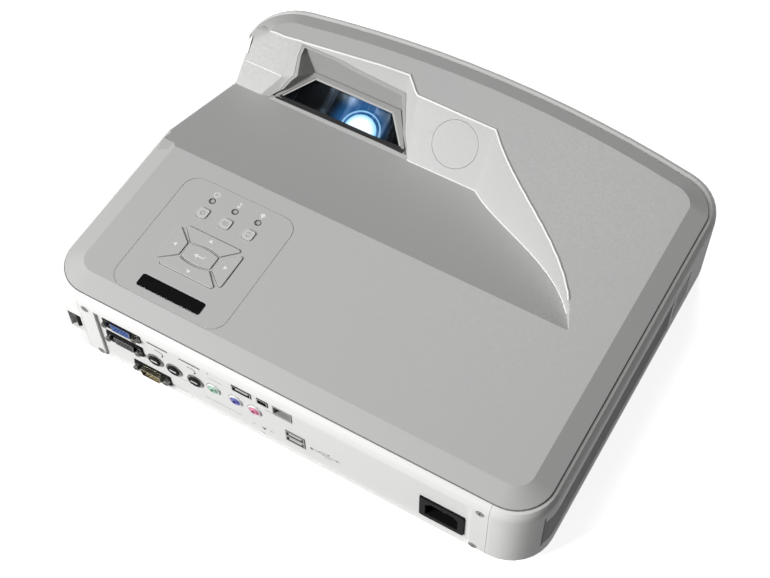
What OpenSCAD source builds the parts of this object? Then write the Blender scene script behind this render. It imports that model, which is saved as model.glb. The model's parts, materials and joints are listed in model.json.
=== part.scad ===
// Ultra short throw projector with a mirror hood, a sunk light trough, a
// key panel on the flat top and a connector panel along the front wall.
// Origin: middle of the footprint, on the surface that it stands on.
// +X right, +Y towards the bowed rear wall, -Y towards the connectors, +Z up.

/* [Case] */
// Width over the side walls
case_w = 383; // [376:1:396]
// Depth of the hood, from the foot of its wall to the middle of the bowed rear wall
hood_d = 91; // [86:1:110]
// Height of the base case, from its underside to the parting line
case_h = 69; // [68:0.5:76]
// Height of the flat top above the parting line
crown_h = 6; // [5:0.5:8]
// Thickness of the moulded walls
wall = 2.5; // [2:0.1:3]
// Radius of the two front corners in plan
front_corner_r = 32; // [28:1:36]
// Radius of the two rear corners in plan
rear_corner_r = 38; // [34:1:44]
// Radius of the bow of the rear wall in plan
rear_bow_r = 840; // [700:10:1200]
// Width of the rounded shoulder at the front and the sides
shoulder_w = 5; // [4:0.5:7]
// How much wider the shoulder is at the rear
shoulder_rear_extra = 6; // [3:0.5:8]
// Height of the rounded shoulder
shoulder_h = 9; // [7:0.5:11]
// Width of the sloping band round the flat top
band_w = 14.4; // [12:0.2:16]
// Visible edge height of the top cover at the parting line
cover_edge = 1.2; // [0.8:0.1:1.6]
// Rounding between the underside and the walls
base_edge = 3; // [2:0.5:4]

/* [Trough] */
// Distance from the connector wall to the ridge where the trough starts
ridge_from_front = 138; // [134:1:142]
// Angle of the trough floor below the flat top
slope_angle = 20; // [18:0.5:21]
// Horizontal run of the trough floor down to the hood wall
slope_run = 95; // [90:1:98]
// Height of the crease in the hood wall above the trough's lowest line
crease_h = 13.8; // [12:0.2:16]

/* [Window] */
// Middle of the window from the left side wall
window_in = 96; // [94:0.5:98]
// Width of the glass along its front edge
glass_front_w = 109; // [104:1:112]
// Width of the glass along its rear edge
glass_rear_w = 69; // [65:1:73]
// Length of the glass down its slope
glass_len = 25; // [23:0.5:26]
// Tilt of the glass from level
glass_tilt = 23.5; // [21:0.5:25]
// Thickness of the glass
glass_t = 2; // [1.5:0.1:2.5]
// Radius of the round blanking plug in the hood wall
plug_r = 18; // [15:0.5:19]

/* [Key panel] */
// Middle of the panel from the left side wall
panel_in = 89.5; // [88:0.5:92]
// Width of the panel
panel_w = 90; // [88:1:92]
// Length of the panel
panel_l = 103.6; // [102:0.2:108]
// Corner radius of the panel
panel_r = 12; // [8:0.5:14]
// Distance from the connector wall to the panel's front edge
panel_from_front = 20.2; // [20:0.2:22]
// Side of the three square keys
key_side = 8; // [7:0.2:9]
// Spacing of the square keys and of the lamps above them
key_pitch = 19; // [18:0.2:20]
// Width of the block of arrow keys
pad_w = 53; // [50:0.2:54]
// Length of the block of arrow keys
pad_l = 35.8; // [34:0.2:37]
// Width of the enter key
enter_w = 23.6; // [22:0.2:26]
// Length of the enter key at its straight ends
enter_l = 10.2; // [9:0.2:12]
// Travel of each key
key_travel = 0.8; // [0.5:0.1:1]
// Height of the keys above the panel
key_proud = 0.8; // [0.8:0.1:1.2]
// Gap all round each key in its hole
key_gap = 0.3; // [0.2:0.05:0.4]

/* [Connector panel] */
// Left seam of the connector fascia from the left side wall
fascia_in_left = 30.9; // [30:0.1:34]
// Right seam of the connector fascia from the right side wall
fascia_in_right = 34; // [32:0.5:36]
// How far the connector plate sits behind the front wall
plate_recess = 2; // [1:0.2:2.5]
// Thickness of the connector plate
plate_t = 1; // [0.8:0.1:1.5]
// Depth of the connector plate's top edge under the top of the case
plate_below = 10; // [9:0.5:11]
// Depth of the upper circuit board's underside below the top of the case
upper_board_z = 28.5; // [28:0.1:29]
// Height of the lower circuit board above the case's underside
lower_board_z = 13; // [12.8:0.1:13.4]
// Thickness of the circuit boards
board_t = 1.6; // [1.2:0.1:2]

/* [Feet and mounts] */
// Height of the case's underside above the table with the feet screwed in
stand_h = 7; // [6:0.5:9]
// Radius of a foot pad
foot_r = 11; // [9:0.5:12]
// Radius of the foot screw's stem
stem_r = 3; // [2.5:0.1:3.5]
// How far each foot can be screwed out
foot_travel = 8; // [6:1:9]
// Spacing across of the four ceiling mount holes
mount_dx = 120; // [116:1:124]
// Spacing from front to rear of the four ceiling mount holes
mount_dy = 90; // [86:1:92]
// Bore radius of the M4 ceiling mount inserts
mount_r = 1.65; // [1.5:0.05:1.7]

/* [Optics and cooling] */
// Middle of the lens to the right of the window's middle
lens_off = 11.5; // [10:0.5:13]
// Depth of the lens axis under the lowest line of the trough
lens_below = 14.9; // [14:0.1:17]
// Radius of the lens nose and of its front element
nose_r = 9.5; // [8.5:0.5:10]
// Clearance of the rear part of the lens barrel above the floor
barrel_gap = 5; // [5:0.1:6]
// Radius of curvature of the concave mirror
mirror_r = 110; // [106:1:114]
// Width of the concave mirror
mirror_w = 118; // [110:1:122]
// Side of the two square fans
fan_side = 58; // [54:1:58]
// Depth of the fans
fan_t = 15; // [12:1:16]
// Radius of the colour wheel
wheel_r = 16; // [14:0.5:16.5]
// Radius of the lamp's reflector
lamp_r = 25; // [22:1:26]

/* [Hidden] */
$fn = 48;

cut = 1;                 // how far a cutting shape runs past a face
fit = 0.2;               // gap round a fixed piece in its opening
slip = 0.3;              // gap round a piece that moves
proud = 2;               // how far the longest connectors stand out in front
case_d = ridge_from_front + slope_run + hood_d;
front_y = (proud - case_d) / 2;
rear_y = front_y + case_d;
left_x = -case_w / 2;
right_x = case_w / 2;
base_z = stand_h;
floor_z = base_z + wall;
part_z = base_z + case_h;
top_z = part_z + crown_h;
rim_w = 2;               // width of the base case's rim under the cover

// ---- plan outline of the case, as [point, outward normal] pairs ----
corner_steps = 8;
bow_steps = 12;
bow_y = rear_y - rear_bow_r;
front_cx = case_w / 2 - front_corner_r;
front_cy = front_y + front_corner_r;
rear_cx = case_w / 2 - rear_corner_r;
rear_cy = bow_y + sqrt(pow(rear_bow_r - rear_corner_r, 2) - rear_cx * rear_cx);
bow_a = atan2(rear_cy - bow_y, rear_cx);
function turn(cx, cy, r, a0, a1, n) = [for (i = [0:n]) let(a = a0 + (a1 - a0) * i / n)
    [[cx + r * cos(a), cy + r * sin(a)], [cos(a), sin(a)]]];

// ---- the trough's profile from front to rear, along the left wall ----
ridge_y = front_y + ridge_from_front;
low_y = ridge_y + slope_run;
function slope_z(y) = top_z - (y - ridge_y) * tan(slope_angle);
low_z = slope_z(low_y);
crease_z = low_z + crease_h;
crease_y = low_y + 14;
hood_left_y = low_y + 29.8;      // hood wall's top edge at the left wall
function trough_z(y) = lookup(y, [[ridge_y, top_z], [low_y, low_z],
    [crease_y, crease_z], [hood_left_y, top_z]]);
function rim_drop(y) = max(0, part_z - (trough_z(y) - cover_edge));
rim_start_y = ridge_y + (crown_h - cover_edge) / tan(slope_angle);
rim_end_y = crease_y + (hood_left_y - crease_y)
    * (part_z + cover_edge - crease_z) / (top_z - crease_z);
left_side = [for (y = [rim_end_y, crease_y, low_y, rim_start_y]) [[left_x, y], [-1, 0]]];
outline = concat(
    turn(-front_cx, front_cy, front_corner_r, 180, 270, corner_steps),
    turn(front_cx, front_cy, front_corner_r, 270, 360, corner_steps),
    turn(rear_cx, rear_cy, rear_corner_r, 0, bow_a, corner_steps),
    [for (i = [1:bow_steps - 1]) let(a = bow_a + (180 - 2 * bow_a) * i / bow_steps)
        [[rear_bow_r * cos(a), bow_y + rear_bow_r * sin(a)], [cos(a), sin(a)]]],
    turn(-rear_cx, rear_cy, rear_corner_r, 180 - bow_a, 180, corner_steps),
    left_side);
function is_left(q) = q[1].x < -0.999;
// One level of the case: inset is even all round, step_in grows to the rear
function ring(inset, step_in, z, follow) = [for (q = outline)
    let(k = inset + step_in * (1 + shoulder_rear_extra / shoulder_w * max(0, q[1].y)))
    [q[0].x - q[1].x * k, q[0].y - q[1].y * k,
        z - (follow && is_left(q) ? rim_drop(q[0].y) : 0)]];
function flat_ring(inset, z) = [for (p = ring(inset, 0, z, false)) [p.x, p.y]];

function middle(r) = [for (k = [0:2]) (max([for (p = r) p[k]]) + min([for (p = r) p[k]])) / 2];
// Skin through a stack of rings that have the same number of points; each end
// closes on a middle point, whose height may be given
module loft(rings, end_z = []) {
    n = len(rings[0]);
    m = len(rings);
    ends = [for (i = [0, 1]) let(c = middle(rings[i * (m - 1)]))
        len(end_z) == 2 ? [c.x, c.y, end_z[i]] : c];
    points = concat([for (r = rings) each r], ends);
    faces = concat(
        [for (i = [0:n - 1]) [n * m, i, (i + 1) % n]],
        [for (i = [0:n - 1]) [n * m + 1, n * (m - 1) + (i + 1) % n, n * (m - 1) + i]],
        [for (j = [0:m - 2], i = [0:n - 1]) each let(a = n * j + i, b = n * j + (i + 1) % n)
            [[a, a + n, b + n], [a, b + n, b]]]);
    polyhedron(points, faces, convexity = 8);
}

shoulder_turns = [0, 22, 44, 65, 85];
function shoulder_ring(g, t) = ring(g * (1 - 0.2 * sin(t)), shoulder_w * (1 - cos(t)),
    part_z - shoulder_h + shoulder_h * sin(t) / sin(85) - g * sin(t) * 0.6, true);
module case_solid() {
    loft(concat(
        [for (t = [0, 45, 90]) ring(base_edge * (1 - sin(t)), 0,
            base_z + base_edge * (1 - cos(t)), false)],
        [for (t = shoulder_turns) shoulder_ring(0, t)],
        [ring(rim_w + 14, shoulder_w, part_z, true)]), [base_z, part_z]);
}
module case_cavity() {
    loft(concat(
        [ring(wall + base_edge * 0.5, 0, floor_z, false), ring(wall, 0, floor_z + base_edge, false)],
        [for (t = [0, 65]) shoulder_ring(wall, t)],
        [ring(rim_w, shoulder_w, part_z - 0.8, true), ring(rim_w, shoulder_w, part_z + cut, false)]),
        [floor_z, part_z + cut]);
}

// ---- the trough as a cutting body; grow makes the skin's outer side ----
window_x = left_x + window_in;
lens_x = window_x + lens_off;
over = 6;                // how far the cutter stands above the flat top
hood_end = [window_x + 35.5, low_y + 47.3];
hood_step = [window_x + 50.9, low_y + 33];
hood_flat_end = window_x + 117.5;
tail_tip = [right_x - 48.5, ridge_y + 2];
tail_run = tail_tip.x - hood_flat_end;
function bezier(p, t) = pow(1 - t, 3) * p[0] + 3 * t * pow(1 - t, 2) * p[1]
    + 3 * t * t * (1 - t) * p[2] + pow(t, 3) * p[3];
tail_top = [[hood_flat_end, low_y + 32.4], [hood_flat_end + 0.314 * tail_run, low_y - 13],
    [hood_flat_end + 0.851 * tail_run, low_y - 38], tail_tip];
tail_foot = [[hood_flat_end + 2, low_y], [hood_flat_end + 0.273 * tail_run, low_y - 29],
    [hood_flat_end + 0.793 * tail_run, low_y - 39], tail_tip - [1, 0]];
tail_steps = 12;
// Cross-section of the trough: floor's far end, foot, crease and top of the hood wall
function trough_section(foot, top, crease, g) =
    let(zf = slope_z(foot.y), run = over / tan(slope_angle),
        cz = crease ? crease_z : (zf + top_z) / 2,
        cy = crease ? crease_y : (foot.y + top.y) / 2,
        cx = crease ? foot.x : (foot.x + top.x) / 2,
        lean = (top.y - cy) / max(top_z - cz, 0.5))
    [[foot.x, ridge_y - run, top_z + over - 1.06 * g],
     [foot.x, foot.y + 0.4 * g, zf - 1.06 * g],
     [cx, cy + 0.75 * g, cz - 0.7 * g],
     [top.x, top.y + min(lean, 1.4) * over + 1.4 * g, top_z + over]];
module trough_cut(g) {
    left_end = left_x - 9;
    loft(concat(
        [trough_section([left_end - g, low_y], [left_end - g, hood_left_y - 1.2], true, g),
         trough_section([left_x + 28.5, low_y], [left_x + 33.5, hood_left_y + 4.4], true, g),
         trough_section([left_x + 40.5, low_y + 3.5], [left_x + 49.5, hood_left_y + 6.5], true, g),
         trough_section([window_x + 53.5, low_y + 3.5], hood_end, false, g),
         trough_section([window_x + 63.5, low_y], hood_step, false, g)],
        [for (i = [0:tail_steps]) let(t = i / tail_steps)
            trough_section(bezier(tail_foot, t) + [i == tail_steps ? 2 * g : 0, 0],
                bezier(tail_top, t) + [i == tail_steps ? 2 * g : 0, 0], false, g)]));
}

// ---- window: glass plane, pocket in the hood wall ----
glass_front = [window_x, low_y + 5.6, low_z - 0.5];
pocket_wall = 2;
function glass_point(x, s, up) = [window_x + x, glass_front.y + s * cos(glass_tilt) - up * sin(glass_tilt),
    glass_front.z + s * sin(glass_tilt) + up * cos(glass_tilt)];
glass_mid_w = (glass_front_w + glass_rear_w) / 2 + 8;
// Six-sided outline on a plane above the glass; left and right are its sides at
// the front, the middle and the back, and back is where it ends
function pocket_ring(left, right, front, mid, back, up, g) = [
    glass_point(-left[0] - g, front - g, up), glass_point(right[0] + g, front - g, up),
    glass_point(right[1] + g, mid, up), glass_point(right[2] + g, back + g, up),
    glass_point(-left[2] - g, back + g, up), glass_point(-left[1] - g, mid, up)];
module pocket(g, floor_up) {
    half_f = glass_front_w / 2;
    half_r = glass_rear_w / 2;
    half_m = glass_mid_w / 2;
    wide = [half_f + 6, half_m, half_r + 12];
    right = [half_f + 5, half_m + 2, half_r + 3];
    loft([pocket_ring([half_f + 5, half_m - 1, half_r + 2], [half_f + 5, half_m + 1, half_r + 5],
            -0.6, glass_len / 2, glass_len + 3.5, floor_up, g),
        pocket_ring(wide, right, -7, glass_len / 2, glass_len + 14.7, 16, g),
        pocket_ring(wide, right, -14, glass_len / 2 - 6, glass_len + 9.3, 30, g)]);
}
// Flat trapezium on the glass plane, from height a to b above it
module glass_prism(front_w, rear_w, s0, s1, a, b) {
    loft([for (up = [a, b]) [glass_point(-front_w / 2, s0, up), glass_point(front_w / 2, s0, up),
        glass_point(rear_w / 2, s1, up), glass_point(-rear_w / 2, s1, up)]]);
}

// ---- blanking plug on the flat part of the hood wall ----
hood_lean = atan2(32.7, top_z - low_z);
plug_x = window_x + 92.5;
plug_up = 25.6;          // up the hood wall from its foot
module on_hood_wall() {
    translate([plug_x, low_y + plug_up * sin(hood_lean), low_z + plug_up * cos(hood_lean)])
        rotate([90 - hood_lean, 0, 0]) children();
}

// ---- key panel layout ----
panel_t = 2;
panel_x = left_x + panel_in;
panel_y = front_y + panel_from_front + panel_l / 2;
ledge_w = 3;
ledge_t = 2;
board_top = top_z - panel_t - ledge_t - 0.5;
flange_t = 1;
flange_w = 1.2;
ir_w = 51.4;
ir_l = 10.6;
ir_y = panel_y - panel_l / 2 + 11.3;
pad_y = ir_y + 16.8 + pad_l / 2;
keys_y = pad_y + 31.8;
lamps_y = keys_y + 12.2;
lamp_hole_r = 2.5;
pad_gap = 1.9;
enter_bulge = 2;         // rise of the enter key's curved sides in the middle
function round_rect(w, l, r) = [for (c = [[1, 1, 0], [-1, 1, 90], [-1, -1, 180], [1, -1, 270]],
    i = [0:4]) let(a = c[2] + 22.5 * i)
    [c.x * (w / 2 - r) + r * cos(a), c.y * (l / 2 - r) + r * sin(a)]];
function bulge_y(k) = enter_l / 2 + enter_bulge * (1 - k * k);
function enter_shape(g) = concat(
    [for (i = [-4:4]) [i / 4 * (enter_w / 2 + g), -bulge_y(i / 4) - g]],
    [for (i = [-4:4]) [-i / 4 * (enter_w / 2 + g), bulge_y(i / 4) + g]]);
// The arrow keys fill the block round the enter key, cut apart along its diagonals
function up_shape(g) = concat(
    [[-pad_w / 2 + 4.3 - g, pad_l / 2 - 1.4], [-pad_w / 2 + 5.8 - g, pad_l / 2 + g],
     [pad_w / 2 - 5.8 + g, pad_l / 2 + g], [pad_w / 2 - 4.3 + g, pad_l / 2 - 1.4]],
    [for (i = [4:-1:-4]) [i / 4 * (enter_w / 2 + 0.6 + g), bulge_y(i / 4) + pad_gap - g]]);
function side_shape(g) = [[-pad_w / 2 - g, -pad_l / 2 + 5.2 - g], [-pad_w / 2 - g, pad_l / 2 - 5.2 + g],
    [-pad_w / 2 + 0.7, pad_l / 2 - 4 + g], [-pad_w / 2 + 2.2, pad_l / 2 - 4 + g],
    [-enter_w / 2 - pad_gap + g, enter_l / 2 + 0.2 + g], [-enter_w / 2 - pad_gap + g, -enter_l / 2 - 0.2 - g],
    [-pad_w / 2 + 2.2, -pad_l / 2 + 4 - g], [-pad_w / 2 + 0.7, -pad_l / 2 + 4 - g]];
function flipped(pts, kx, ky) = [for (p = pts) [p.x * kx, p.y * ky]];
function key_shape(k, g) =
    k == "up" ? up_shape(g) : k == "down" ? flipped(up_shape(g), 1, -1) :
    k == "left" ? side_shape(g) : k == "right" ? flipped(side_shape(g), -1, 1) :
    k == "enter" ? enter_shape(g) : round_rect(key_side + 2 * g, key_side + 2 * g, 1.8 + g);
function key_x(k) = panel_x + (k == "power" ? -key_pitch : k == "resync" ? key_pitch : 0);
function key_y(k) = (k == "power" || k == "source" || k == "resync") ? keys_y : pad_y;
all_keys = ["power", "source", "resync", "up", "left", "right", "down", "enter"];
// A key: cap through the panel, flange under it and a stub over its switch
module key(k) {
    translate([key_x(k), key_y(k), top_z - panel_t])
        difference() {
            union() {
                linear_extrude(panel_t + key_proud) polygon(key_shape(k, 0));
                translate([0, 0, -0.1 - flange_t])
                    linear_extrude(flange_t) polygon(key_shape(k, -flange_w / 2 + 1));
                translate([0, 0, -0.11]) linear_extrude(0.2) polygon(key_shape(k, 0));
            }
            translate([0, 0, -0.1 - flange_t - cut])
                linear_extrude(flange_t + cut + 0.6) polygon(key_shape(k, -1.6));
        }
}

// ---- connector panel layout: places along X and above the underside ----
fascia_left = left_x + fascia_in_left;
fascia_right = right_x - fascia_in_right;
plate_y = front_y + plate_recess;
plate_left = fascia_left + 13.1;
plate_right = fascia_right - 12.5;
plate_low = base_z + 3;
plate_h = part_z - plate_below - plate_low;
fascia_low = base_z + 1.5;
vga_x = plate_left + 21;
vga_a_z = part_z - 18;
vga_b_z = part_z - upper_board_z - 7.5;
serial_x = vga_x + 19.5;
serial_z = base_z + 9.4;
socket_row = [vga_x + 25, vga_x + 40.7, vga_x + 58.2];
socket_row_z = part_z - upper_board_z - 9;
jack_row = [vga_x + 73.6, vga_x + 91.5, vga_x + 106.8];
jack_row_z = part_z - upper_board_z - 7.2;
hdmi_x = vga_x + 97.5;
small_x = vga_x + 114;
net_x = vga_x + 129.5;
upper_row_z = part_z - 18.5;
usb_x = vga_x + 138;
inlet_x = plate_right - 21;
inlet_z = base_z + 23;
upper_board_low = part_z - upper_board_z;
screw_spots = [[fascia_left + 5.8, case_h - 11.5], [fascia_left + 9.5, 5.4],
    [fascia_right - 6.2, case_h - 11.5], [fascia_right - 9.2, 5.4]];
dsub_w = 30.8;
dsub_h = 12.5;
socket_r = 6.4;
jack_r = 4.2;
hdmi_w = 15.2;
hdmi_h = 6.2;
small_w = 8.5;
net_w = 14.6;
net_h = 12;
usb_w = 15;
usb_h = 13.4;
inlet_w = 33;
inlet_h = 26;
connector_depth = 14;
gap = 0.3;               // all round a connector in its plate opening

module at_front(x, z) { translate([x, plate_y, z]) rotate([90, 0, 0]) children(); }
// D-shaped shell outline
function dsub_shape(w, h, lean) = [[-w / 2 + lean, -h / 2], [w / 2 - lean, -h / 2],
    [w / 2, h / 2 - 1], [w / 2 - 1, h / 2], [-w / 2 + 1, h / 2], [-w / 2, h / 2 - 1]];
// D-sub socket: flange, nose with contact holes or pins, hex posts, body
module dsub(x, z, shell_w, rows, male, body_low, body_high) {
    at_front(x, z) {
        difference() {
            translate([0, 0, -plate_t - 0.6]) linear_extrude(plate_t + 1.4)
                polygon(round_rect(dsub_w, dsub_h, 2.5));
            if (!male)
                for (r = [0:rows - 1], i = [-2:2])
                    translate([i * 2.3 + (r % 2) * 1.1, (r - (rows - 1) / 2) * 2, -0.4])
                        cylinder(r = 0.6, h = 4, $fn = 8);
        }
        translate([0, 0, 0.7]) difference() {
            linear_extrude(male ? 3.3 : 1.3) polygon(dsub_shape(shell_w, 8.4, 1.2));
            if (male)
                translate([0, 0, 0.6]) linear_extrude(5) polygon(dsub_shape(shell_w - 1, 7.4, 1.2));
            else
                for (r = [0:rows - 1], i = [-2:2])
                    translate([i * 2.3 + (r % 2) * 1.1, (r - (rows - 1) / 2) * 2, -cut])
                        cylinder(r = 0.6, h = 4, $fn = 8);
        }
        if (male)
            for (r = [0, 1], i = [0:4 - r])
                translate([(i - 2 + r / 2) * 2.75, 1.4 - r * 2.8, 1]) cylinder(r = 0.5, h = 2.6, $fn = 8);
        for (side = [-1, 1])
            translate([side * (dsub_w / 2 - 2.9), 0, 0.7]) difference() {
                cylinder(r = 2.6, h = 3.2, $fn = 6);
                translate([0, 0, 1]) cylinder(r = 1.3, h = 4);
            }
    }
    translate([x - dsub_w / 2 + 6, plate_y + plate_t + 0.1, body_low])
        cube([dsub_w - 12, connector_depth, body_high - body_low]);
}
// Round socket with a nut ring and a bore
module round_socket(x, z, r, bore, body_high) {
    at_front(x, z) difference() {
        union() {
            translate([0, 0, -plate_t - 0.6]) cylinder(r = r - 1.2, h = plate_t + 1);
            cylinder(r = r, h = 1);
            cylinder(r = r - 1.6, h = 1.8);
        }
        translate([0, 0, -plate_t - cut]) cylinder(r = bore, h = 2 * plate_t + 5);
    }
    difference() {
        translate([x - r + 0.4, plate_y + plate_t + 0.1, z - r])
            cube([2 * r - 0.8, connector_depth, body_high - z + r]);
        at_front(x, z) translate([0, 0, -plate_t - 9]) cylinder(r = bore, h = 12);
    }
}
// Metal-shelled slot connector in a stack of equal slots, each with its tongue
module slot_socket(x, z, w, h, slots, slot_h, body_low, tongue = true) {
    pitch = h / slots;
    difference() {
        union() {
            translate([x - w / 2, plate_y - 0.6, z - h / 2]) cube([w, connector_depth, h]);
            translate([x - w / 2, plate_y + plate_t + 0.2, body_low])
                cube([w, connector_depth - plate_t - 0.8, max(z - h / 2 - body_low + 1, 1)]);
        }
        for (i = [0:slots - 1])
            translate([x - w / 2 + 0.8, plate_y - cut, z - h / 2 + (i + 0.5) * pitch - slot_h / 2])
                cube([w - 1.6, 10, slot_h]);
    }
    if (tongue)
        for (i = [0:slots - 1])
            translate([x - w / 2 + 2.4, plate_y + 0.6, z - h / 2 + (i + 0.5) * pitch - 0.5])
                cube([w - 4.8, 10, 1]);
}

// ---- side grilles ----
grille_low = base_z + 14;
grille_high = base_z + 56;
louvre_pitch = 3.5;
louvre_t = 1.5;
exhaust_from = front_cy - 14;
exhaust_to = front_cy + 178;
intake_from = front_cy + 3;
intake_to = intake_from + fan_side + 4;
// Strip of the case wall between two depths, on one side of the case
module wall_strip(side, from_y, to_y, inner, outer, low, high) {
    translate([0, 0, low]) linear_extrude(high - low) intersection() {
        difference() {
            polygon(flat_ring(outer, 0));
            polygon(flat_ring(inner, 0));
        }
        translate([side > 0 ? 100 : -case_w, from_y]) square([case_w - 100, to_y - from_y]);
    }
}
module grille(side, from_y, to_y) {
    rows = floor((grille_high - grille_low - 4) / louvre_pitch);
    posts = floor((to_y - from_y - 3) / 24);
    difference() {
        wall_strip(side, from_y + fit, to_y - fit, wall, 0, grille_low + fit, grille_high - fit);
        for (i = [0:rows - 1])
            wall_strip(side, from_y + 2, to_y - 2, wall + cut, -cut,
                grille_low + 2.4 + i * louvre_pitch, grille_low + 2.4 + i * louvre_pitch + louvre_pitch - louvre_t);
    }
    for (i = [0:posts])
        wall_strip(side, from_y + 1.5 + i * (to_y - from_y - 5) / posts,
            from_y + 3.5 + i * (to_y - from_y - 5) / posts, wall + 1.2, wall - 0.6,
            grille_low + 1, grille_high - 1);
}

// ---- feet, inserts and screws in the underside ----
foot_spots = [[-20, front_y + 24], [left_x + 26.5, rear_y - 46], [right_x - 26.5, rear_y - 46]];
foot_boss_h = 12;
foot_hole_r = stem_r + slip;
insert_r = stem_r + 2.2;
pad_t = 4;
mount_x = 40;
mount_y = ridge_y + 78;
mount_spots = [for (sx = [-1, 1], sy = [-1, 1]) [mount_x + sx * mount_dx / 2, mount_y + sy * mount_dy / 2]];
mount_depth = 8;
mount_outer_r = 3.2;
case_screw_spots = [[left_x + 24, front_cy + 80], [right_x - 24, front_cy + 190],
    [left_x + 24, rear_cy - 20], [100, rear_y - 14], [right_x - 26, front_y + 40]];
screw_r = 1.4;
screw_head_r = 2.8;
module pan_screw(length) {
    difference() {
        union() {
            cylinder(r = screw_head_r, h = 1.6);
            translate([0, 0, -length]) cylinder(r = screw_r, h = length + 0.1);
        }
        for (a = [0, 90]) rotate([0, 0, a])
            translate([-screw_head_r + 1, -0.35, 0.8]) cube([2 * screw_head_r - 2, 0.7, 2]);
    }
}

// ---- lamp and light engine ----
beam_y = front_y + 97;
beam_z = base_z + 33;
wheel_x = lens_x + 88;
wheel_z = beam_z - wheel_r + 4;
lamp_x = wheel_x + 20;
lamp_l = 60;
door_w = lamp_l + 12;
door_l = 2 * lamp_r + 14;
door_x = lamp_x - 4;
lens_y = beam_y + 32;
lens_axis_z = low_z - lens_below;
barrel_r = lens_axis_z - floor_z - barrel_gap;
nose_end_y = low_y + 16.5;
focus_y = lens_y + 44;
focus_w = 10;
lever_end = left_x + 0.3;
mirror_d = 47;
mirror_c = [window_x, rear_y - 29 - mirror_r * cos(25), floor_z + 22 + mirror_r * sin(25)];

module underside_holes() {
    for (p = foot_spots) translate([p.x, p.y, base_z - cut]) cylinder(r = insert_r, h = foot_boss_h + 2 * cut);
    for (p = mount_spots) translate([p.x, p.y, base_z - cut]) cylinder(r = mount_outer_r, h = mount_depth + cut);
    for (p = case_screw_spots) translate([p.x, p.y, base_z - cut]) {
        cylinder(r = screw_r + 0.1, h = 20);
        cylinder(r = screw_head_r + 0.3, h = cut + 2);
    }
}
security = [left_x + 18.4, front_y, base_z + 24];   // low left front of its recess
security_size = [11, 12, 18];

module base_case() color("#f4f4f2") difference() {
    union() {
        difference() {
            case_solid();
            case_cavity();
        }
        for (p = foot_spots) translate([p.x, p.y, floor_z - 0.5])
            cylinder(r = insert_r + 2.2, h = foot_boss_h - wall + 0.5);
        for (p = mount_spots) translate([p.x, p.y, floor_z - 0.5])
            cylinder(r = mount_outer_r + 2, h = mount_depth - wall + 2.5);
        for (p = case_screw_spots) translate([p.x, p.y, floor_z - 0.5]) cylinder(r = 4, h = 22);
        translate(security - [1.8, 0, 1.8]) cube(security_size + [3.4, 1.8, 3.6]);
    }
    // opening for the connector fascia
    translate([fascia_left, front_y - cut, fascia_low])
        cube([fascia_right - fascia_left, shoulder_w + rim_w + cut + 0.6, case_h]);
    translate(security - [0, cut, 0]) cube(security_size + [0, cut, 0]);
    wall_strip(1, exhaust_from, exhaust_to, wall + cut, -cut, grille_low, grille_high);
    wall_strip(-1, intake_from, intake_to, wall + cut, -cut, grille_low, grille_high);
    // slot for the focus lever and slots in front of the speaker
    translate([left_x - cut, focus_y - 2.5, lens_axis_z - 11]) cube([wall + 2 * cut, 5, 22]);
    for (i = [0:5]) translate([right_x - wall - cut, exhaust_to + 6, base_z + 20 + i * 5])
        cube([wall + 2 * cut, 26, 2]);
    translate([door_x, beam_y - door_l / 2, base_z - cut]) cube([door_w, door_l, wall + 2 * cut]);
    underside_holes();
}

module cover_cap() {
    loft([ring(rim_w + 3, shoulder_w, part_z, true), ring(0.4, shoulder_w, part_z, true),
        ring(0.4, shoulder_w, part_z + cover_edge, true),
        ring(band_w, shoulder_w, top_z, false)], [part_z, top_z]);
}
module cover_cavity() {
    loft([ring(rim_w + 0.6, shoulder_w, base_z + 20, false), ring(rim_w + 0.6, shoulder_w, part_z - 0.8, true),
        ring(band_w + 1, shoulder_w, top_z - wall, false)], [base_z + 20, top_z - wall]);
}
module top_cover() color("#b9b9b6") difference() {
    union() {
        difference() {
            cover_cap();
            cover_cavity();
        }
        intersection() {
            trough_cut(wall);
            translate([0, 0, base_z + 20]) linear_extrude(top_z - base_z - 21)
                polygon([for (p = ring(rim_w + 0.4, shoulder_w, 0, false)) [p.x, p.y]]);
        }
        translate([panel_x, panel_y, board_top]) linear_extrude(top_z - board_top - 1)
            polygon(round_rect(panel_w + 5, panel_l + 5, panel_r + 2));
        on_hood_wall() translate([0, 0, -wall - 3]) cylinder(r = plug_r + 2, h = wall + 2);
    }
    trough_cut(0);
    pocket(pocket_wall + fit, -2 - glass_t);
    translate([panel_x, panel_y, top_z - panel_t]) linear_extrude(panel_t + cut)
        polygon(round_rect(panel_w + 2 * fit, panel_l + 2 * fit, panel_r));
    translate([panel_x, panel_y, board_top - cut]) linear_extrude(panel_t + ledge_t + 2)
        polygon(round_rect(panel_w - 2 * ledge_w, panel_l - 2 * ledge_w, panel_r - ledge_w));
    on_hood_wall() translate([0, 0, -20]) cylinder(r = plug_r - 2, h = 30);
    on_hood_wall() translate([0, 0, -1.8]) cylinder(r = plug_r + fit, h = 10);
}

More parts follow.
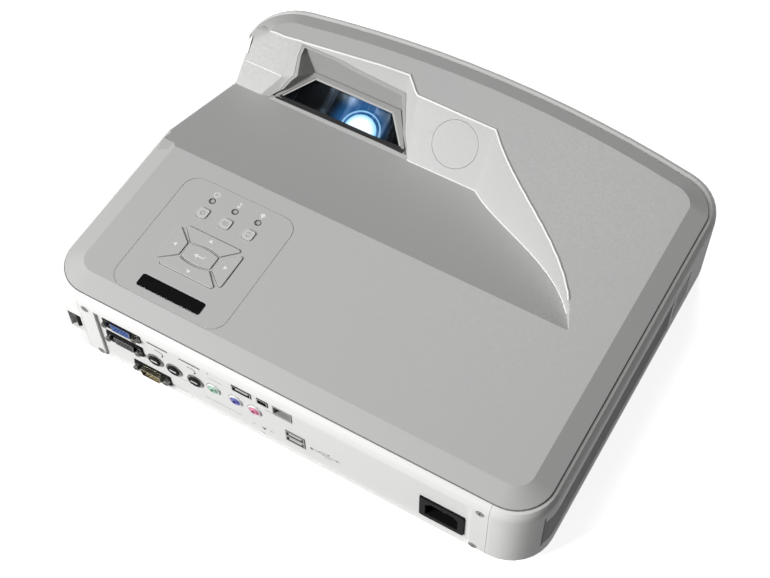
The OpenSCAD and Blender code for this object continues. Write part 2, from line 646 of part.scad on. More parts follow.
module io_fascia() color("#f0f0ee") difference() {
    intersection() {
        case_solid();
        translate([fascia_left + fit, front_y - cut, fascia_low + fit])
            cube([fascia_right - fascia_left - 2 * fit, shoulder_w + rim_w + cut + 0.4, case_h]);
    }
    translate([fascia_left - cut, front_y + wall, floor_z])
        cube([fascia_right - fascia_left + 2 * cut, case_d, case_h - shoulder_h - wall]);
    translate([fascia_left - cut, front_y + shoulder_w + 1, floor_z])
        cube([fascia_right - fascia_left + 2 * cut, case_d, case_h - wall - 2.5]);
    translate([plate_left, front_y - cut, plate_low]) cube([plate_right - plate_left, wall + 4, plate_h]);
    for (p = screw_spots) translate([p.x, front_y - cut, base_z + p.y]) rotate([-90, 0, 0]) {
        cylinder(r = screw_r + 0.1, h = 20);
        cylinder(r = screw_head_r + 0.3, h = cut + 1.4);
    }
}

module io_plate() color("#e6e6e4") difference() {
    union() {
        translate([plate_left + fit, plate_y, plate_low + fit])
            cube([plate_right - plate_left - 2 * fit, plate_t, plate_h - 2 * fit]);
        for (side = [[fascia_left + 1, plate_left + 3], [plate_right - 3, fascia_right - 1]])
            translate([side[0], front_y + wall, plate_low + fit])
                cube([side[1] - side[0], plate_t, plate_h - 2 * fit]);
    }
    for (p = screw_spots) translate([p.x, front_y, base_z + p.y]) rotate([-90, 0, 0])
        cylinder(r = screw_r + 0.1, h = 20);
    for (p = [[vga_x, vga_a_z, dsub_w, dsub_h], [vga_x, vga_b_z, dsub_w, dsub_h],
              [serial_x, serial_z, dsub_w, dsub_h], [hdmi_x, upper_row_z, hdmi_w, hdmi_h],
              [small_x, upper_row_z, small_w, hdmi_h], [net_x, upper_row_z - 1, net_w, net_h],
              [usb_x, lower_row_z, usb_w, usb_h], [inlet_x, inlet_z, inlet_w, inlet_h]])
        translate([p[0] - p[2] / 2 - gap, plate_y - cut, p[1] - p[3] / 2 - gap])
            cube([p[2] + 2 * gap, plate_t + wall + 2 * cut, p[3] + 2 * gap]);
    for (x = socket_row) at_front(x, socket_row_z) cylinder(r = socket_r - 1.2 + gap, h = 20, center = true);
    for (x = jack_row) at_front(x, jack_row_z) cylinder(r = jack_r - 1.2 + gap, h = 20, center = true);
}
lower_board_low = base_z + lower_board_z;
lower_row_z = lower_board_low + board_t + usb_h / 2;
upper_board_top = upper_board_low + board_t;

module panel_screws() color("#8c8c8a") {
    for (p = screw_spots) translate([p.x, front_y + 1.4, base_z + p.y])
        rotate([90, 0, 0]) pan_screw(6);
    for (p = case_screw_spots) translate([p.x, p.y, base_z + 2]) rotate([180, 0, 0]) pan_screw(16);
}

module key_panel() color("#bcbcb9") translate([0, 0, top_z - panel_t]) difference() {
    translate([panel_x, panel_y, 0]) linear_extrude(panel_t) polygon(round_rect(panel_w, panel_l, panel_r));
    for (k = all_keys) translate([key_x(k), key_y(k), -cut])
        linear_extrude(panel_t + 2 * cut) polygon(key_shape(k, key_gap));
    for (i = [-1:1]) translate([panel_x + i * key_pitch, lamps_y, -cut])
        cylinder(r = lamp_hole_r, h = panel_t + 2 * cut);
    translate([panel_x, ir_y, -cut]) linear_extrude(panel_t + 2 * cut) polygon(round_rect(ir_w, ir_l, 2));
}
module ir_window() color("#141416") translate([panel_x, ir_y, top_z - panel_t]) {
    linear_extrude(panel_t - 0.2) polygon(round_rect(ir_w - 2 * fit, ir_l - 2 * fit, 1.8));
    translate([0, 0, -1.5]) linear_extrude(1.5) polygon(round_rect(ir_w + 3, ir_l + 3, 2));
}
module light_pipes() color("#e8f0f0") for (i = [-1:1])
    translate([panel_x + i * key_pitch, lamps_y, board_top])
        cylinder(r = lamp_hole_r - fit, h = top_z - board_top - 0.4);
module key_board() color("#2f6b3c") {
    difference() {
        translate([panel_x - panel_w / 2 + 1, panel_y - panel_l / 2 + 1, board_top - board_t])
            cube([panel_w - 2, panel_l - 2, board_t]);
        for (sx = [-1, 1], sy = [-1, 1])
            translate([panel_x + sx * (panel_w / 2 - 6), panel_y + sy * (panel_l / 2 - 6), board_top - board_t - cut])
                cylinder(r = 1.6, h = board_t + 2 * cut);
    }
    for (k = all_keys) translate([key_x(k), key_y(k), board_top]) translate(
        k == "up" ? [0, pad_l / 2 - 5, 0] : k == "down" ? [0, 5 - pad_l / 2, 0] :
        k == "left" ? [6 - pad_w / 2, 0, 0] : k == "right" ? [pad_w / 2 - 6, 0, 0] : [0, 0, 0])
        translate([0, 0, -0.1]) cylinder(r = 2, h = 0.4);
}

module window_bezel() color("#a9a9a6") difference() {
    union() {
        difference() {
            pocket(pocket_wall, -glass_t - 1.8);
            pocket(0, 0);
        }
        glass_prism(glass_front_w + 7, glass_rear_w + 9, -1.6, glass_len + 3.5, -1, 1.2);
    }
    trough_cut(0.02);
    translate([left_x, front_y, top_z]) cube([case_w, case_d, 60]);
    glass_prism(glass_front_w, glass_rear_w, 0, glass_len, -10, 10);
    glass_prism(glass_front_w + 6, glass_rear_w + 6, -1.8, glass_len + 3, -10, 0);
}
module window_glass() color([0.75, 0.85, 0.9, 0.35])
    glass_prism(glass_front_w + 5.4, glass_rear_w + 5.4, -1.5, glass_len + 2.7, -glass_t, 0);
module port_plug() color("#dadad8") on_hood_wall() {
    translate([0, 0, -1.8]) cylinder(r = plug_r, h = 1.8);
    difference() {
        translate([0, 0, -7]) cylinder(r = plug_r - 2 - fit, h = 6);
        translate([0, 0, -8]) cylinder(r = plug_r - 4, h = 6);
    }
}

module vga_socket_a() color("#3f62b0") dsub(vga_x, vga_a_z, 17, 3, false, upper_board_top, vga_a_z + 5);
module vga_socket_b() color("#2b2b2d") dsub(vga_x, vga_b_z, 17, 3, false, vga_b_z - 5, upper_board_low);
module serial_socket() color("#b9b6a2") dsub(serial_x, serial_z, 17, 2, true, serial_z - 5, lower_board_low);
module round_sockets() color("#3a3a3c")
    for (x = socket_row) round_socket(x, socket_row_z, socket_r, 2.6, upper_board_low);
module jack_green() color("#8fd0b4") round_socket(jack_row[0], jack_row_z, jack_r, 1.8, upper_board_low);
module jack_blue() color("#5a58b4") round_socket(jack_row[1], jack_row_z, jack_r, 1.8, upper_board_low);
module jack_pink() color("#e07fa6") round_socket(jack_row[2], jack_row_z, jack_r, 1.8, upper_board_low);
module hdmi_socket() color("#3c3c3e")
    slot_socket(hdmi_x, upper_row_z, hdmi_w, hdmi_h, 1, 4.4, upper_board_top);
module mini_usb_socket() color("#3c3c3e")
    slot_socket(small_x, upper_row_z, small_w, hdmi_h, 1, 4.2, upper_board_top);
module network_socket() color("#9a9a9c")
    slot_socket(net_x, upper_row_z - 1, net_w, net_h, 1, 8.4, upper_board_top, false);
module usb_sockets() color("#b8b8ba")
    slot_socket(usb_x, lower_row_z, usb_w, usb_h, 2, 4.6, lower_board_low + board_t);
// Mains inlet: flange with a tapered well and three blades
module power_inlet() color("#1d1d1f") {
    at_front(inlet_x, inlet_z) difference() {
        union() {
            translate([0, 0, -plate_t]) linear_extrude(plate_t + 1.4)
                polygon(round_rect(inlet_w, inlet_h, 1.5));
            translate([0, 0, -20]) linear_extrude(20) polygon(round_rect(inlet_w - 4, inlet_h - 3, 1.5));
        }
        translate([0, 0, -17]) linear_extrude(20)
            polygon([[-12, -8.2], [12, -8.2], [12, 4.2], [8, 8.2], [-8, 8.2], [-12, 4.2]]);
    }
    for (p = [[-7, -2], [0, 2], [7, -2]])
        translate([inlet_x + p.x - 1, plate_y + 5, inlet_z + p.y - 2]) cube([2, 13, 4]);
}
module security_bar() color("#3a3a3c")
    translate([security.x + security_size.x / 2, front_y + 3, security.z])
        cylinder(r = 1.8, h = security_size.z);
module exhaust_grille() color("#ececea") grille(1, exhaust_from, exhaust_to);
module intake_grille() color("#ececea") grille(-1, intake_from, intake_to);

// ---- circuit boards ----
board_front = plate_y + plate_t + 1.2;
upper_board_l = 50;
lower_board_l = 56;
board_left = plate_left - 2.5;
post_spots = [for (x = [4, 166], y = [20, 46]) [board_left + x, board_front + y]];
module upper_board() color("#2f6b3c") {
    translate([board_left, board_front, upper_board_low]) cube([170, upper_board_l, board_t]);
    for (p = post_spots) translate([p.x, p.y, lower_board_low + board_t])
        cylinder(r = 2.4, h = upper_board_low - lower_board_low - board_t);
    for (i = [0:3]) translate([board_left + 30 + i * 32, board_front + 26, upper_board_top - 0.1]) cube([14, 14, 2.1]);
}
module lower_board() color("#28603a") {
    difference() {
        translate([board_left, board_front, lower_board_low]) cube([210, lower_board_l, board_t]);
        translate([foot_spots[0].x, foot_spots[0].y, floor_z]) cylinder(r = insert_r + 3.2, h = 40);
    }
    for (p = concat(post_spots, [[board_left + 205, board_front + 46]])) translate([p.x, p.y, floor_z])
        cylinder(r = 2.4, h = lower_board_low - floor_z);
    translate([board_left + 180, board_front + 22, lower_board_low + board_t - 0.1]) cube([24, 24, 2.1]);
    translate([board_left + 181, board_front + 23, lower_board_low + board_t + 1.9]) cube([22, 22, 6]);
}
// Power supply: board on posts, transformer, capacitors and heatsink
psu = [mount_x - 10, rear_y - 82, floor_z + 9];
psu_size = [100, 60, board_t];
module power_supply() color("#7d6a3a") {
    translate(psu) cube(psu_size);
    for (sx = [6, psu_size.x - 6], sy = [6, psu_size.y - 6]) translate([psu.x + sx, psu.y + sy, floor_z])
        cylinder(r = 2.4, h = psu.z - floor_z);
    translate(psu + [60, 16, board_t - 0.1]) cube([26, 24, 20]);
    for (i = [0:2]) translate(psu + [14 + i * 15, 44, board_t - 0.1]) cylinder(r = 6, h = 22);
    for (i = [0:5]) translate(psu + [8 + i * 6, 10, board_t - 0.1]) cube([2, 20, 16]);
}

// ---- light engine ----
tunnel_r = 5;
module engine_housing() color("#5c5c60") difference() {
    union() {
        translate([lens_x - 26, beam_y - 24, floor_z]) cube([52, 56, 46]);
        translate([lens_x + 20, beam_y, beam_z]) rotate([0, 90, 0])
            cylinder(r = tunnel_r + 3, h = wheel_x - lens_x - 22);
        for (i = [0:6]) translate([lens_x - 21 + i * 6.6, beam_y - 34, floor_z + 4]) cube([2, 11, 34]);
        // bearing plate of the colour wheel
        translate([wheel_x - 7, beam_y - 10, floor_z]) cube([4, 20, wheel_z - floor_z + 5]);
        translate([wheel_x - 4, beam_y, wheel_z]) rotate([0, 90, 0]) cylinder(r = 5, h = 3);
    }
    translate([lens_x - 20, beam_y - 18, floor_z + 3]) cube([40, 46, 38]);
    translate([lens_x, beam_y + 20, lens_axis_z]) rotate([-90, 0, 0]) cylinder(r = barrel_r - 4, h = 20);
    translate([lens_x + 15, beam_y, beam_z]) rotate([0, 90, 0]) cylinder(r = tunnel_r, h = 110);
    translate([wheel_x - 8, beam_y, wheel_z]) rotate([0, 90, 0]) cylinder(r = 1.55, h = 10);
}
module colour_wheel() color("#c8ccd4") translate([wheel_x, beam_y, wheel_z]) rotate([0, 90, 0]) {
    difference() {
        cylinder(r = wheel_r, h = 1);
        translate([0, 0, -cut]) cylinder(r = 6, h = 3);
    }
    translate([0, 0, -0.6]) cylinder(r = 7, h = 2.6);
    translate([0, 0, -7]) cylinder(r = 1.5, h = 8);
}
module lens_barrel() color("#232326") translate([lens_x, 0, lens_axis_z]) rotate([-90, 0, 0])
    rotate_extrude() polygon([[nose_r - 2, lens_y + 40], [nose_r - 2, nose_end_y], [nose_r, nose_end_y],
        [nose_r, low_y - 28], [barrel_r - 4, low_y - 42], [barrel_r - 4, focus_y + focus_w / 2 + 3],
        [barrel_r, focus_y + focus_w / 2 + 3], [barrel_r, focus_y + focus_w / 2 + 0.2],
        [barrel_r - 3, focus_y + focus_w / 2 + 0.2], [barrel_r - 3, focus_y - focus_w / 2 - 0.2],
        [barrel_r, focus_y - focus_w / 2 - 0.2], [barrel_r, lens_y], [barrel_r - 4.2, lens_y],
        [13.8, lens_y - 8], [12, lens_y - 8], [12, lens_y + 40]]);
module lens_glass() color([0.7, 0.85, 1, 0.4]) translate([lens_x, nose_end_y, lens_axis_z]) intersection() {
    sphere(r = nose_r - 0.2);
    rotate([-90, 0, 0]) cylinder(r = nose_r, h = nose_r + 1);
}
// Focus ring with a lever to the slot in the left wall
module focus_ring() color("#3a3a3e") {
    translate([lens_x, focus_y - focus_w / 2, lens_axis_z]) rotate([-90, 0, 0]) difference() {
        cylinder(r = barrel_r + 1.5, h = focus_w);
        translate([0, 0, -cut]) cylinder(r = barrel_r - 3 + 0.05, h = focus_w + 2 * cut);
    }
    translate([lever_end, focus_y - 1.5, lens_axis_z - 2])
        cube([lens_x - barrel_r - lever_end, 3, 4]);
    translate([lever_end, focus_y - 2, lens_axis_z - 4]) cube([6, 4, 8]);
}
module mirror_block(extra) {
    translate([window_x - mirror_w / 2 - extra, rear_y - 8 - mirror_d, floor_z + 3])
        cube([mirror_w + 2 * extra, mirror_d, 50]);
}
module concave_mirror() color("#d4dae0") intersection() {
    mirror_block(0);
    translate(mirror_c) difference() {
        sphere(r = mirror_r + 3.5, $fn = 96);
        sphere(r = mirror_r, $fn = 96);
    }
}
// Die-cast cradle behind the mirror, screwed to the floor
module mirror_bracket() color("#4a4a4e") {
    for (sx = [-1, 0, 1]) difference() {
        translate([window_x + sx * mirror_w * 0.36 - 3, rear_y - 51, floor_z]) cube([6, 32, 46]);
        translate(mirror_c) sphere(r = mirror_r + 3.6, $fn = 96);
    }
    translate([window_x - mirror_w * 0.42, rear_y - 51, floor_z]) cube([mirror_w * 0.84, 32, 3]);
}
// Lamp module: cage, reflector and burner behind a front glass
module lamp_module() color("#c9b98a") {
    difference() {
        translate([lamp_x, beam_y - lamp_r - 4, floor_z + 0.2])
            cube([lamp_l, 2 * lamp_r + 8, 2 * lamp_r + 6]);
        translate([lamp_x + 3, beam_y - lamp_r - 1, floor_z + 3]) cube([lamp_l - 6, 2 * lamp_r + 2, 2 * lamp_r + 10]);
        translate([lamp_x - cut, beam_y, beam_z]) rotate([0, 90, 0]) cylinder(r = lamp_r - 4, h = 10);
        for (i = [0:4]) translate([lamp_x + 12 + i * 9, beam_y - lamp_r - 10, floor_z + 12])
            cube([4, 2 * lamp_r + 20, 2 * lamp_r - 18]);
    }
    translate([lamp_x + 2.5, beam_y, beam_z]) rotate([0, 90, 0]) rotate_extrude()
        polygon(concat([for (i = [0:6]) [lamp_r * sqrt(1 - i / 7), i * 6]],
            [for (i = [6:-1:0]) [lamp_r * sqrt(1 - i / 7) - 2, i * 6]]));
    translate([lamp_x + 30, beam_y, beam_z]) rotate([0, 90, 0]) cylinder(r = 8.5, h = 28);
    translate([lamp_x + 12, beam_y, beam_z]) rotate([0, 90, 0]) cylinder(r = 3, h = 20);
}
module lamp_door() color("#eeeeec") difference() {
    union() {
        translate([door_x + fit, beam_y - door_l / 2 + fit, base_z + 0.1])
            cube([door_w - 2 * fit, door_l - 2 * fit, wall - 0.2]);
        translate([door_x + door_w / 2 - 12, beam_y - door_l / 2 + fit, base_z + 1]) cube([24, 1.6, wall + 0.4]);
        translate([door_x + door_w / 2 - 12, beam_y - door_l / 2 - 3, floor_z + 0.05]) cube([24, 4.8, 1.4]);
    }
    for (i = [0:5]) translate([door_x + 10, beam_y - 20 + i * 8, base_z - cut]) cube([door_w - 20, 3, 0.6 + cut]);
}

// ---- fans ----
fan_z = floor_z + fan_side / 2 + 0.2;
exhaust_fan_x = right_x - wall - fan_t - 1.4;
intake_fan_x = left_x + wall + 1.4;
exhaust_fan_y = front_cy + 92;
intake_fan_y = intake_from + fan_side / 2 + 2;
fan_bore = fan_side / 2 - 1.5;
module fan_frame(x, y) translate([x, y, fan_z]) rotate([0, 90, 0]) {
    difference() {
        translate([-fan_side / 2, -fan_side / 2, 0]) cube([fan_side, fan_side, fan_t]);
        translate([0, 0, -cut]) cylinder(r = fan_bore, h = fan_t + 2 * cut);
        for (sx = [-1, 1], sy = [-1, 1]) translate([sx * (fan_side / 2 - 4), sy * (fan_side / 2 - 4), -cut])
            cylinder(r = 2, h = fan_t + 2 * cut);
    }
    for (a = [45, 165, 285]) rotate([0, 0, a]) translate([8, -1.5, 0]) cube([fan_bore - 7, 3, 2]);
    cylinder(r = 11, h = 2.6);
    translate([0, 0, 2.5]) cylinder(r = 1.5, h = fan_t - 6);
}
module fan_rotor(x, y) translate([x, y, fan_z]) rotate([0, 90, 0]) {
    difference() {
        translate([0, 0, 3.4]) cylinder(r = 12, h = fan_t - 4.4);
        translate([0, 0, 3]) cylinder(r = 1.55, h = fan_t - 5.5);
    }
    for (i = [0:6]) rotate([0, 0, i * 360 / 7]) translate([11.5, 0, 3.4 + (fan_t - 4.4) / 2])
        rotate([38, 0, 0]) translate([0, -6, -0.6]) cube([fan_bore - 13, 12, 1.2]);
}
module exhaust_fan() color("#2a2a2c") fan_frame(exhaust_fan_x, exhaust_fan_y);
module exhaust_rotor() color("#3a3a3c") fan_rotor(exhaust_fan_x, exhaust_fan_y);
module intake_fan() color("#2a2a2c") fan_frame(intake_fan_x, intake_fan_y);
module intake_rotor() color("#3a3a3c") fan_rotor(intake_fan_x, intake_fan_y);
// Loudspeaker behind the slots in the right wall
speaker_r = 15;
module speaker() color("#303034") translate([right_x - wall - 0.2, exhaust_to + 19, base_z + 34])
    rotate([0, -90, 0]) {
        difference() {
            translate([-speaker_r - 2, -speaker_r + 1, 0]) cube([2 * speaker_r + 4, 2 * speaker_r - 2, 3]);
            translate([0, 0, -cut]) cylinder(r = speaker_r - 2.5, h = 3);
        }
        translate([0, 0, 2.9]) cylinder(r1 = speaker_r - 2, r2 = 9, h = 8);
        translate([0, 0, 10.8]) cylinder(r = 9, h = 6);
    }

// ---- brass inserts and feet ----
module brass_inserts() color("#c8a24a") {
    for (p = foot_spots) translate([p.x, p.y, base_z + 0.2]) difference() {
        cylinder(r = insert_r, h = foot_boss_h - 0.4);
        translate([0, 0, -cut]) cylinder(r = stem_r + 0.08, h = foot_boss_h + 2 * cut);
    }
    for (p = mount_spots) translate([p.x, p.y, base_z]) difference() {
        cylinder(r = mount_outer_r, h = mount_depth);
        translate([0, 0, -cut]) cylinder(r = mount_r, h = mount_depth + 2 * cut);
    }
}
// Foot screw: threaded stem and a knurled disc that carries the pad
disc_t = 2.4;
module foot_screw(p) color("#55555a") translate([p.x, p.y, 0]) {
    translate([0, 0, base_z - 0.3 - disc_t]) cylinder(r = foot_r - 2.4, h = disc_t);
    translate([0, 0, base_z - 0.4]) cylinder(r = stem_r, h = foot_boss_h);
    translate([0, 0, pad_t - 1.8]) cylinder(r = 2, h = base_z - disc_t - pad_t + 1.8);
}
// Rubber pad that the screw turns in
module foot_pad(p) color("#2e2e30") translate([p.x, p.y, 0]) difference() {
    union() {
        cylinder(r = foot_r - 0.8, h = 0.8);
        translate([0, 0, 0.8]) cylinder(r = foot_r, h = pad_t - 0.8);
    }
    translate([0, 0, 1]) cylinder(r = 2.05, h = pad_t);
}

base_case();
top_cover();
io_fascia();
io_plate();
panel_screws();
key_panel();
ir_window();
light_pipes();
color("#d8d8d6") key("power");  // power_key
color("#d8d8d6") key("source");  // source_key
color("#d8d8d6") key("resync");  // resync_key
color("#c8c8c6") key("up");  // up_key
color("#c8c8c6") key("left");  // left_key
color("#c8c8c6") key("right");  // right_key
color("#c8c8c6") key("down");  // down_key
color("#c8c8c6") key("enter");  // enter_key
key_board();
window_bezel();
window_glass();
port_plug();
vga_socket_a();
vga_socket_b();
serial_socket();
round_sockets();
jack_green();
jack_blue();
jack_pink();
hdmi_socket();
mini_usb_socket();
network_socket();
usb_sockets();
power_inlet();
security_bar();
exhaust_grille();
intake_grille();
upper_board();
lower_board();
power_supply();
engine_housing();
lens_barrel();
lens_glass();
focus_ring();
concave_mirror();
mirror_bracket();
colour_wheel();
lamp_module();
lamp_door();
exhaust_fan();
exhaust_rotor();
intake_fan();
intake_rotor();
speaker();
brass_inserts();
foot_screw(foot_spots[0]);  // foot_screw_a
foot_screw(foot_spots[1]);  // foot_screw_b
foot_screw(foot_spots[2]);  // foot_screw_c
foot_pad(foot_spots[0]);  // foot_pad_a
foot_pad(foot_spots[1]);  // foot_pad_b
foot_pad(foot_spots[2]);  // foot_pad_c
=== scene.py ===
# Ultra short throw projector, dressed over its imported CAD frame. Metres, +Z up.
# Points and profiles of pieces are written in millimetres, sizes in trees in metres.
import bpy, bmesh, json, math
from mathutils import Matrix, Vector


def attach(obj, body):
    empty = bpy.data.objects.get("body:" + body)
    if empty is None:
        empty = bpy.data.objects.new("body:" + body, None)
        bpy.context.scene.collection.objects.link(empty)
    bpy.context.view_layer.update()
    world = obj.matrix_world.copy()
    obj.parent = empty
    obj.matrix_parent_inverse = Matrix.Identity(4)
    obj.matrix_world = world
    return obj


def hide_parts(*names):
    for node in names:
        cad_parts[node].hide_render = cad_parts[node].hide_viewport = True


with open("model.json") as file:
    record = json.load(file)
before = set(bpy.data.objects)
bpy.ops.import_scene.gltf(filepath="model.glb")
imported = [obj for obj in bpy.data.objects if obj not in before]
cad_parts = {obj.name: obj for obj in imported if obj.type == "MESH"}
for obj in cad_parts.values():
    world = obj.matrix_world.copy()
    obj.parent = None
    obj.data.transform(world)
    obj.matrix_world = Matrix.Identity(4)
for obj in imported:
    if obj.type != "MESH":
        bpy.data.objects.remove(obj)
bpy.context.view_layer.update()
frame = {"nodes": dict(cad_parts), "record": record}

# ---- Camera -----------------------------------------------------------------
# A 68.6 mm lens looks down on the connector side from its right, and is rolled by
# one degree.
def put(name, data):
    # A new object with that data, linked into the scene.
    thing = bpy.data.objects.new(name, data)
    bpy.context.collection.objects.link(thing)
    return thing


azimuth, height, roll = math.radians(30.917), math.radians(56.867), math.radians(-1.014)
level = Vector((math.cos(azimuth), math.sin(azimuth), 0))
back = Vector((math.sin(azimuth) * math.cos(height), -math.cos(azimuth) * math.cos(height),
    math.sin(height)))
above = back.cross(level)
across = level * math.cos(roll) + above * math.sin(roll)
upward = above * math.cos(roll) - level * math.sin(roll)
camera = put("camera", bpy.data.cameras.new("camera"))
camera.data.lens, camera.data.sensor_width = 68.6, 36.0
camera.data.clip_start, camera.data.clip_end = 0.02, 20.0
camera.matrix_world = Matrix((across, upward, back)).transposed().to_4x4()
camera.location = (0.2992, -0.5186, 0.9106)
bpy.context.scene.camera = camera
bpy.context.scene.view_settings.view_transform = "Standard"

# ---- Studio -----------------------------------------------------------------
# A seamless white sweep. The camera and glass see it as plain white with a little
# of the projector's shadow, and gloss sees it dimmer. One large soft box stands low
# at the front left; two small ones behind show only as soft gloss on the flat top.
def linear(hex_code):
    # An sRGB hex colour as the linear one that a shader takes.
    parts = [int(hex_code[i:i + 2], 16) / 255 for i in (1, 3, 5)]
    return [c / 12.92 if c <= 0.04045 else ((c + 0.055) / 1.055) ** 2.4 for c in parts] + [1.0]


def add(tree, kind, inputs=None, **settings):
    # Adds one node. An input takes a value, a socket, or the first output of a node.
    made = tree.nodes.new(kind)
    for key, value in settings.items():
        setattr(made, key, value)
    for key, value in (inputs or {}).items():
        if isinstance(value, bpy.types.Node):
            value = value.outputs[0]
        if isinstance(value, bpy.types.NodeSocket):
            tree.links.new(value, made.inputs[key])
        else:
            made.inputs[key].default_value = value
    return made


def new_material(name):
    made = bpy.data.materials.new(name)
    made.use_nodes = True
    made.node_tree.nodes.clear()
    return made, made.node_tree


# Matt white paper, with a light of its own where the camera, glass and gloss look.
seen_white, gloss_white = 0.87, 0.7
sweep, tree = new_material("white_paper_sweep")
ray = add(tree, "ShaderNodeLightPath").outputs
by_eye = add(tree, "ShaderNodeMath", {0: ray["Is Camera Ray"], 1: ray["Is Transmission Ray"]},
    operation="MAXIMUM")
by_gloss = add(tree, "ShaderNodeMath", {0: ray["Is Glossy Ray"], 1: gloss_white}, operation="MULTIPLY")
bright = add(tree, "ShaderNodeMath", {0: by_eye, 1: seen_white, 2: by_gloss}, operation="MULTIPLY_ADD")
tint = add(tree, "ShaderNodeMix", {0: by_eye, 6: linear("#8c8c8c"), 7: linear("#f4f4f4")}, data_type="RGBA")
paper = add(tree, "ShaderNodeBsdfDiffuse", {"Color": tint.outputs[2]})
glow = add(tree, "ShaderNodeEmission", {"Color": (1, 1, 1, 1), "Strength": bright})
add(tree, "ShaderNodeOutputMaterial", {"Surface": add(tree, "ShaderNodeAddShader", {0: glow, 1: paper})})
floor_mesh = bpy.data.meshes.new("floor")
floor_mesh.from_pydata([(-6, -6, 0), (6, -6, 0), (6, 6, 0), (-6, 6, 0)], [], [(0, 1, 2, 3)])
floor_mesh.materials.append(sweep)
floor = put("floor", floor_mesh)

world = bpy.data.worlds.new("studio")
bpy.context.scene.world = world
world.use_nodes = True
tree = world.node_tree
tree.nodes.clear()
ray = add(tree, "ShaderNodeLightPath").outputs
room = add(tree, "ShaderNodeBackground", {"Color": linear("#ffffff"), "Strength": 0.05})
white = add(tree, "ShaderNodeBackground", {"Color": (1, 1, 1, 1), "Strength": 1.0})
backdrop = add(tree, "ShaderNodeMixShader", {0: ray["Is Camera Ray"], 1: room, 2: white})
add(tree, "ShaderNodeOutputWorld", {"Surface": backdrop})
for name, place, aim, size, power in (
        ("key_box", (-1.36, -1.80, 1.40), (0, 0, 0.04), 1.0, 84.0),
        ("rear_gloss_box", (-0.19, 1.0, 1.35), (0.10, 0.08, 0.08), 0.35, 5.6),
        ("front_gloss_box", (-0.30, 0.535, 1.49), (0.08, -0.13, 0.08), 0.3, 1.8)):
    lamp = put(name, bpy.data.lights.new(name, "AREA"))
    lamp.data.size, lamp.data.energy = size, power
    lamp.location = place
    lamp.rotation_mode = "QUATERNION"
    lamp.rotation_quaternion = (Vector(place) - Vector(aim)).to_track_quat("Z", "Y")

# ---- Base case --------------------------------------------------------------
# The lower housing and the connector fascia are moulded in white ABS with a fine
# spark-eroded skin: clean white, a soft broad gloss, and a small radius on every
# edge that the mould left.
bodies = frame["record"]["behaviour"]["bodies"]
body_of_node = {node: body for body, nodes in bodies.items() for node in nodes}
grains_per_cell = 2.2


def moulded_plastic(name, hex_code, shade, roughness, grain_mm=0.5, depth=0.05, coat=0.0, shine=0.5,
        light=("#ffffff", 0.0)):
    # Two close tones in slow clouds, and a fine grain that breaks up the gloss.
    # light is the colour and strength of an emission, a painted glow.
    made, tree = new_material(name)
    place = add(tree, "ShaderNodeTexCoord").outputs["Object"]
    clouds = add(tree, "ShaderNodeTexNoise", {"Vector": place, "Scale": 14.0, "Detail": 3.0})
    tone = add(tree, "ShaderNodeMix", {0: clouds, 6: linear(hex_code), 7: linear(shade)}, data_type="RGBA")
    grain = add(tree, "ShaderNodeTexNoise", {"Vector": place, "Scale": 1000 / grain_mm / grains_per_cell,
        "Detail": 2.0})
    gloss = add(tree, "ShaderNodeMapRange", {0: grain, 1: 0.3, 2: 0.7, 3: roughness - 0.06,
        4: roughness + 0.06})
    bump = add(tree, "ShaderNodeBump", {"Height": grain, "Strength": depth, "Distance": 0.0002})
    skin = add(tree, "ShaderNodeBsdfPrincipled", {"Base Color": tone.outputs[2], "Roughness": gloss,
        "IOR": 1.5, "Specular IOR Level": shine, "Normal": bump, "Coat Weight": coat,
        "Emission Color": linear(light[0]), "Emission Strength": light[1]})
    add(tree, "ShaderNodeOutputMaterial", {"Surface": skin})
    return made


def dress(names, material):
    # Gives CAD pieces that keep their shape a material.
    for name in names:
        mesh = frame["nodes"][name].data
        mesh.materials.clear()
        mesh.materials.append(material)


def carry(piece, node, instead=False):
    # The piece rides with that CAD node, and may take its place.
    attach(piece, body_of_node[node])
    if instead:
        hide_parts(node)
    return piece


def merged(mesh):
    # A CAD mesh to work on, with its loose triangles joined into flat faces.
    work = bmesh.new()
    work.from_mesh(mesh)
    bmesh.ops.remove_doubles(work, verts=work.verts, dist=2e-6)
    bmesh.ops.dissolve_limit(work, angle_limit=math.radians(0.4), verts=work.verts, edges=work.edges,
        delimit={"MATERIAL"})
    return work


def moulded_copy(node, paints, radius_mm, angle=18.0, steps=2, choose=None):
    # A merged copy of a CAD piece whose edges get the radius that the mould left.
    # choose picks one of the paints for each face from its corners, in millimetres.
    mesh = frame["nodes"][node].data.copy()
    mesh.materials.clear()
    for paint in paints:
        mesh.materials.append(paint)
    work = merged(mesh)
    for face in work.faces:
        face.smooth = True
        face.material_index = choose([corner.co * 1000 for corner in face.verts]) if choose else 0
    work.to_mesh(mesh)
    work.free()
    piece = put(node + "_moulded", mesh)
    soft = piece.modifiers.new("edges", "BEVEL")
    soft.width, soft.segments = radius_mm / 1000, steps
    soft.limit_method, soft.angle_limit = "ANGLE", math.radians(angle)
    soft.harden_normals = True
    soft.miter_outer = "MITER_ARC"
    even = piece.modifiers.new("normals", "WEIGHTED_NORMAL")
    even.keep_sharp = True
    return carry(piece, node, instead=True)


white_abs = moulded_plastic("white_moulded_abs", "#ebebe9", "#e7e7e5", 0.42)
moulded_copy("base_case", [white_abs], 0.35)
moulded_copy("io_fascia", [white_abs], 0.35)
dress(["lamp_door"], white_abs)
